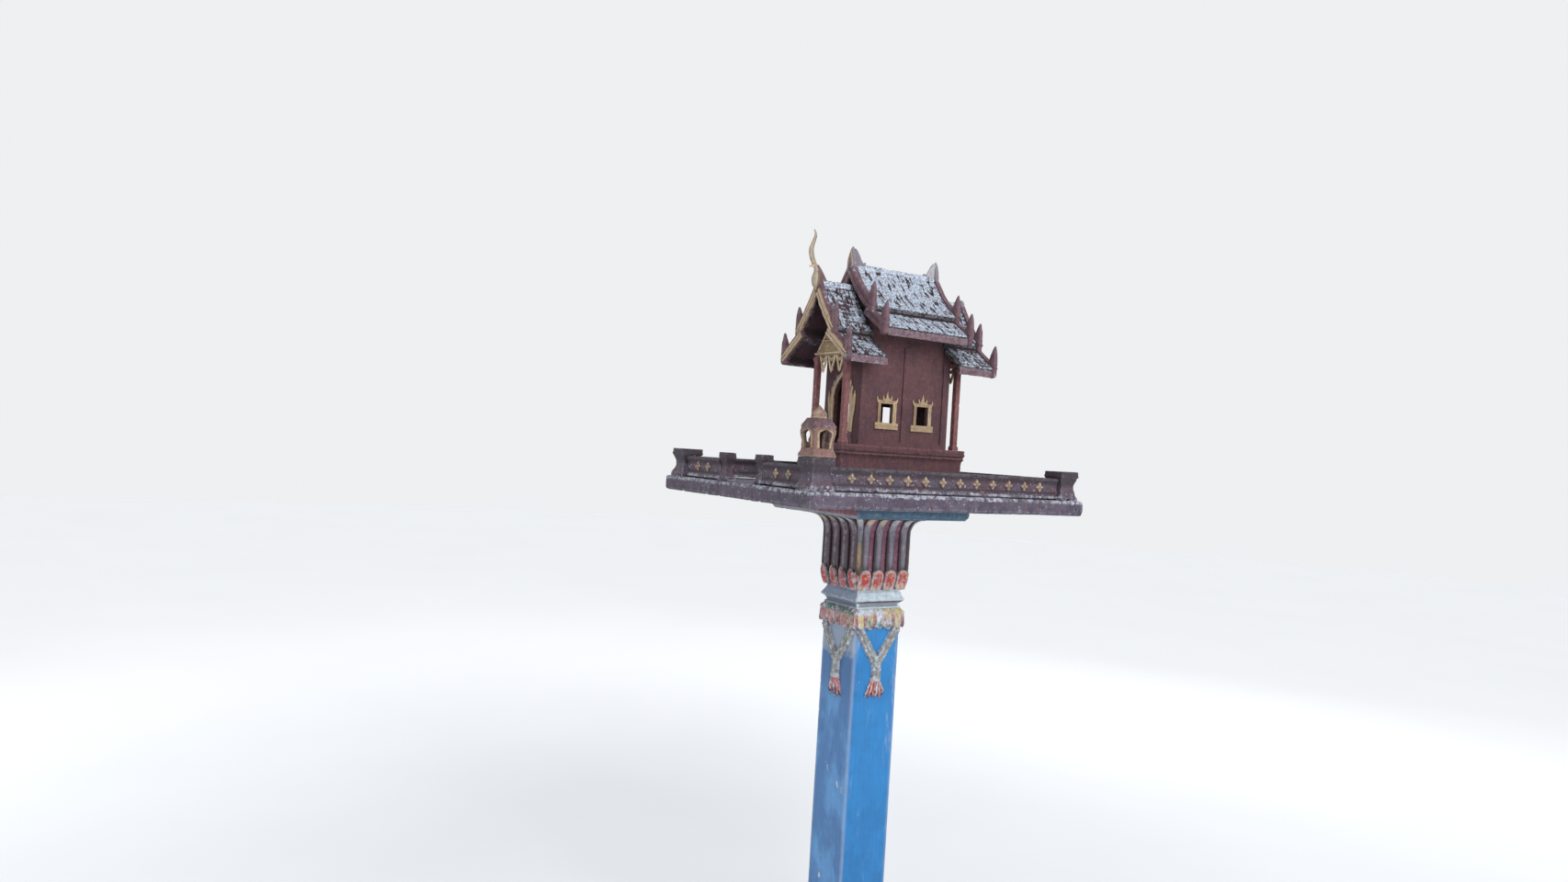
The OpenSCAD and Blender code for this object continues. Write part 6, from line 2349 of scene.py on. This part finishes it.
        # The gables get dark maroon with painted shade.
        self.shop.dress(["gable_front", "gable_back"], "gable_maroon")
        windows = Form()
        for side, y in product((-1, 1), repeat=2):
            at = (side * self.wall, BACK + y * self.offset, self.floor + self.sill)
            windows.join(self.window(Plane(at, (0, 1, 0), out=(side, 0, 0))))
        doorway = self.door(Plane((0, self.front, self.floor)))
        niche = self.door(Plane((0, self.rear, self.floor), out=(0, 1, 0)))
        for name, form, node in (("doorway_frame", doorway, "door_frame"),
                                 ("niche_frame", niche, "rear_niche_frame"),
                                 ("window_surrounds", windows, "window_frames")):
            self.shop.piece(name, form, "gold_and_paint", "gilding", [node],
                            Weather(0.15, 0.2, 0.7, 0.3, 0, 170))


@dataclass
class Studio:
    """Pale floor, soft light and the camera of the photograph."""

    camera_at: Spot = (1.614, -1.222, 1.100)
    heading: float = 147.68
    pitch: float = 0.57
    roll: float = 3.50
    lens: float = 23.99
    floor_r: float = 14.0

    def floor(self) -> None:
        """A plain pale floor that lights up away from the object, so that it meets the surround."""
        mesh = bpy.data.meshes.new("floor")
        turns = [a * math.pi / 24 for a in range(48)]
        rim = [(self.floor_r * math.cos(a), self.floor_r * math.sin(a), 0.0) for a in turns]
        mesh.from_pydata(rim, [], [tuple(range(48))])
        g = Graph("floor_pale")
        tone = g.shade((0.84, 0.85, 0.87, 1.0), g.noise(900, 2), 0.98, 1.02)
        square = g.plus(g.every(g.x, g.x), g.every(g.y, g.y))
        away = g.add("ShaderNodeMath", {0: square}, operation="SQRT").outputs[0]
        g.feed(g.shader.inputs["Emission Color"], (1.0, 1.0, 1.0, 1.0))
        g.feed(g.shader.inputs["Emission Strength"], g.every(g.mask(away, 0.8, 4.0), 0.34))
        mesh.materials.append(g.finish(tone, 0.9, g.noise(6, 2), 0.05))
        floor = shown("floor", mesh)

    def light(self) -> None:
        """Soft lamps and a pale surround that the camera sees as near white."""
        for name, at, size, power in (("key", (3.0, -0.5, 2.4), 2.2, 84.0),
                                      ("fill", (-2.0, -2.6, 1.9), 2.6, 20.0),
                                      ("rim", (-1.6, 2.8, 2.6), 2.2, 34.0)):
            lamp = bpy.data.lights.new(name, "AREA")
            lamp.size, lamp.energy = size, power
            thing = shown(name, lamp)
            thing.location = at
            thing.rotation_euler = (Vector((0, 0, 1.0)) - Vector(at)).to_track_quat("-Z", "Y").to_euler()
        world = bpy.data.worlds.new("surround")
        bpy.context.scene.world = world
        world.use_nodes = True
        n = Nodes(world.node_tree)
        path = n.add("ShaderNodeLightPath").outputs
        ray = n.either(path["Is Camera Ray"], path["Is Glossy Ray"], path["Is Transmission Ray"])
        soft = n.add("ShaderNodeBackground", {0: (0.93, 0.96, 1.0, 1.0), 1: 0.62}).outputs[0]
        seen = n.add("ShaderNodeBackground", {0: (0.86, 0.87, 0.88, 1.0), 1: 1.0}).outputs[0]
        mixed = n.add("ShaderNodeMixShader", {0: ray, 1: soft, 2: seen}).outputs[0]
        n.add("ShaderNodeOutputWorld", {0: mixed})
        bpy.context.scene.view_settings.view_transform = "Standard"

    def camera(self) -> None:
        """The camera where the photograph was taken from."""
        h, p, r = (math.radians(v) for v in (self.heading, self.pitch, self.roll))
        ahead = Vector((math.cos(h) * math.cos(p), math.sin(h) * math.cos(p), math.sin(p)))
        right = ahead.cross(Vector((0, 0, 1))).normalized()
        up = right.cross(ahead)
        x = right * math.cos(r) + up * math.sin(r)
        y = -right * math.sin(r) + up * math.cos(r)
        data = bpy.data.cameras.new("photo_view")
        data.sensor_width, data.lens = 36.0, self.lens
        camera = shown("photo_view", data)
        turn = Matrix((x, y, -ahead)).transposed().to_4x4()
        camera.matrix_world = Matrix.Translation(self.camera_at) @ turn
        bpy.context.scene.camera = camera

    def build(self) -> None:
        """Floor, lamps and camera."""
        self.floor()
        self.light()
        self.camera()


def main() -> None:
    logging.basicConfig(level=logging.INFO, format="%(message)s")
    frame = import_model()
    Studio().build()
    shop = Workshop(frame)
    for assembly in (Pillar, LotusCapital, Platform, Balustrade, CornerLantern, House, Pediment, Roof,
                     Bargeboards, Chofa):
        assembly(shop).build()


if __name__ == "__main__":
    main()
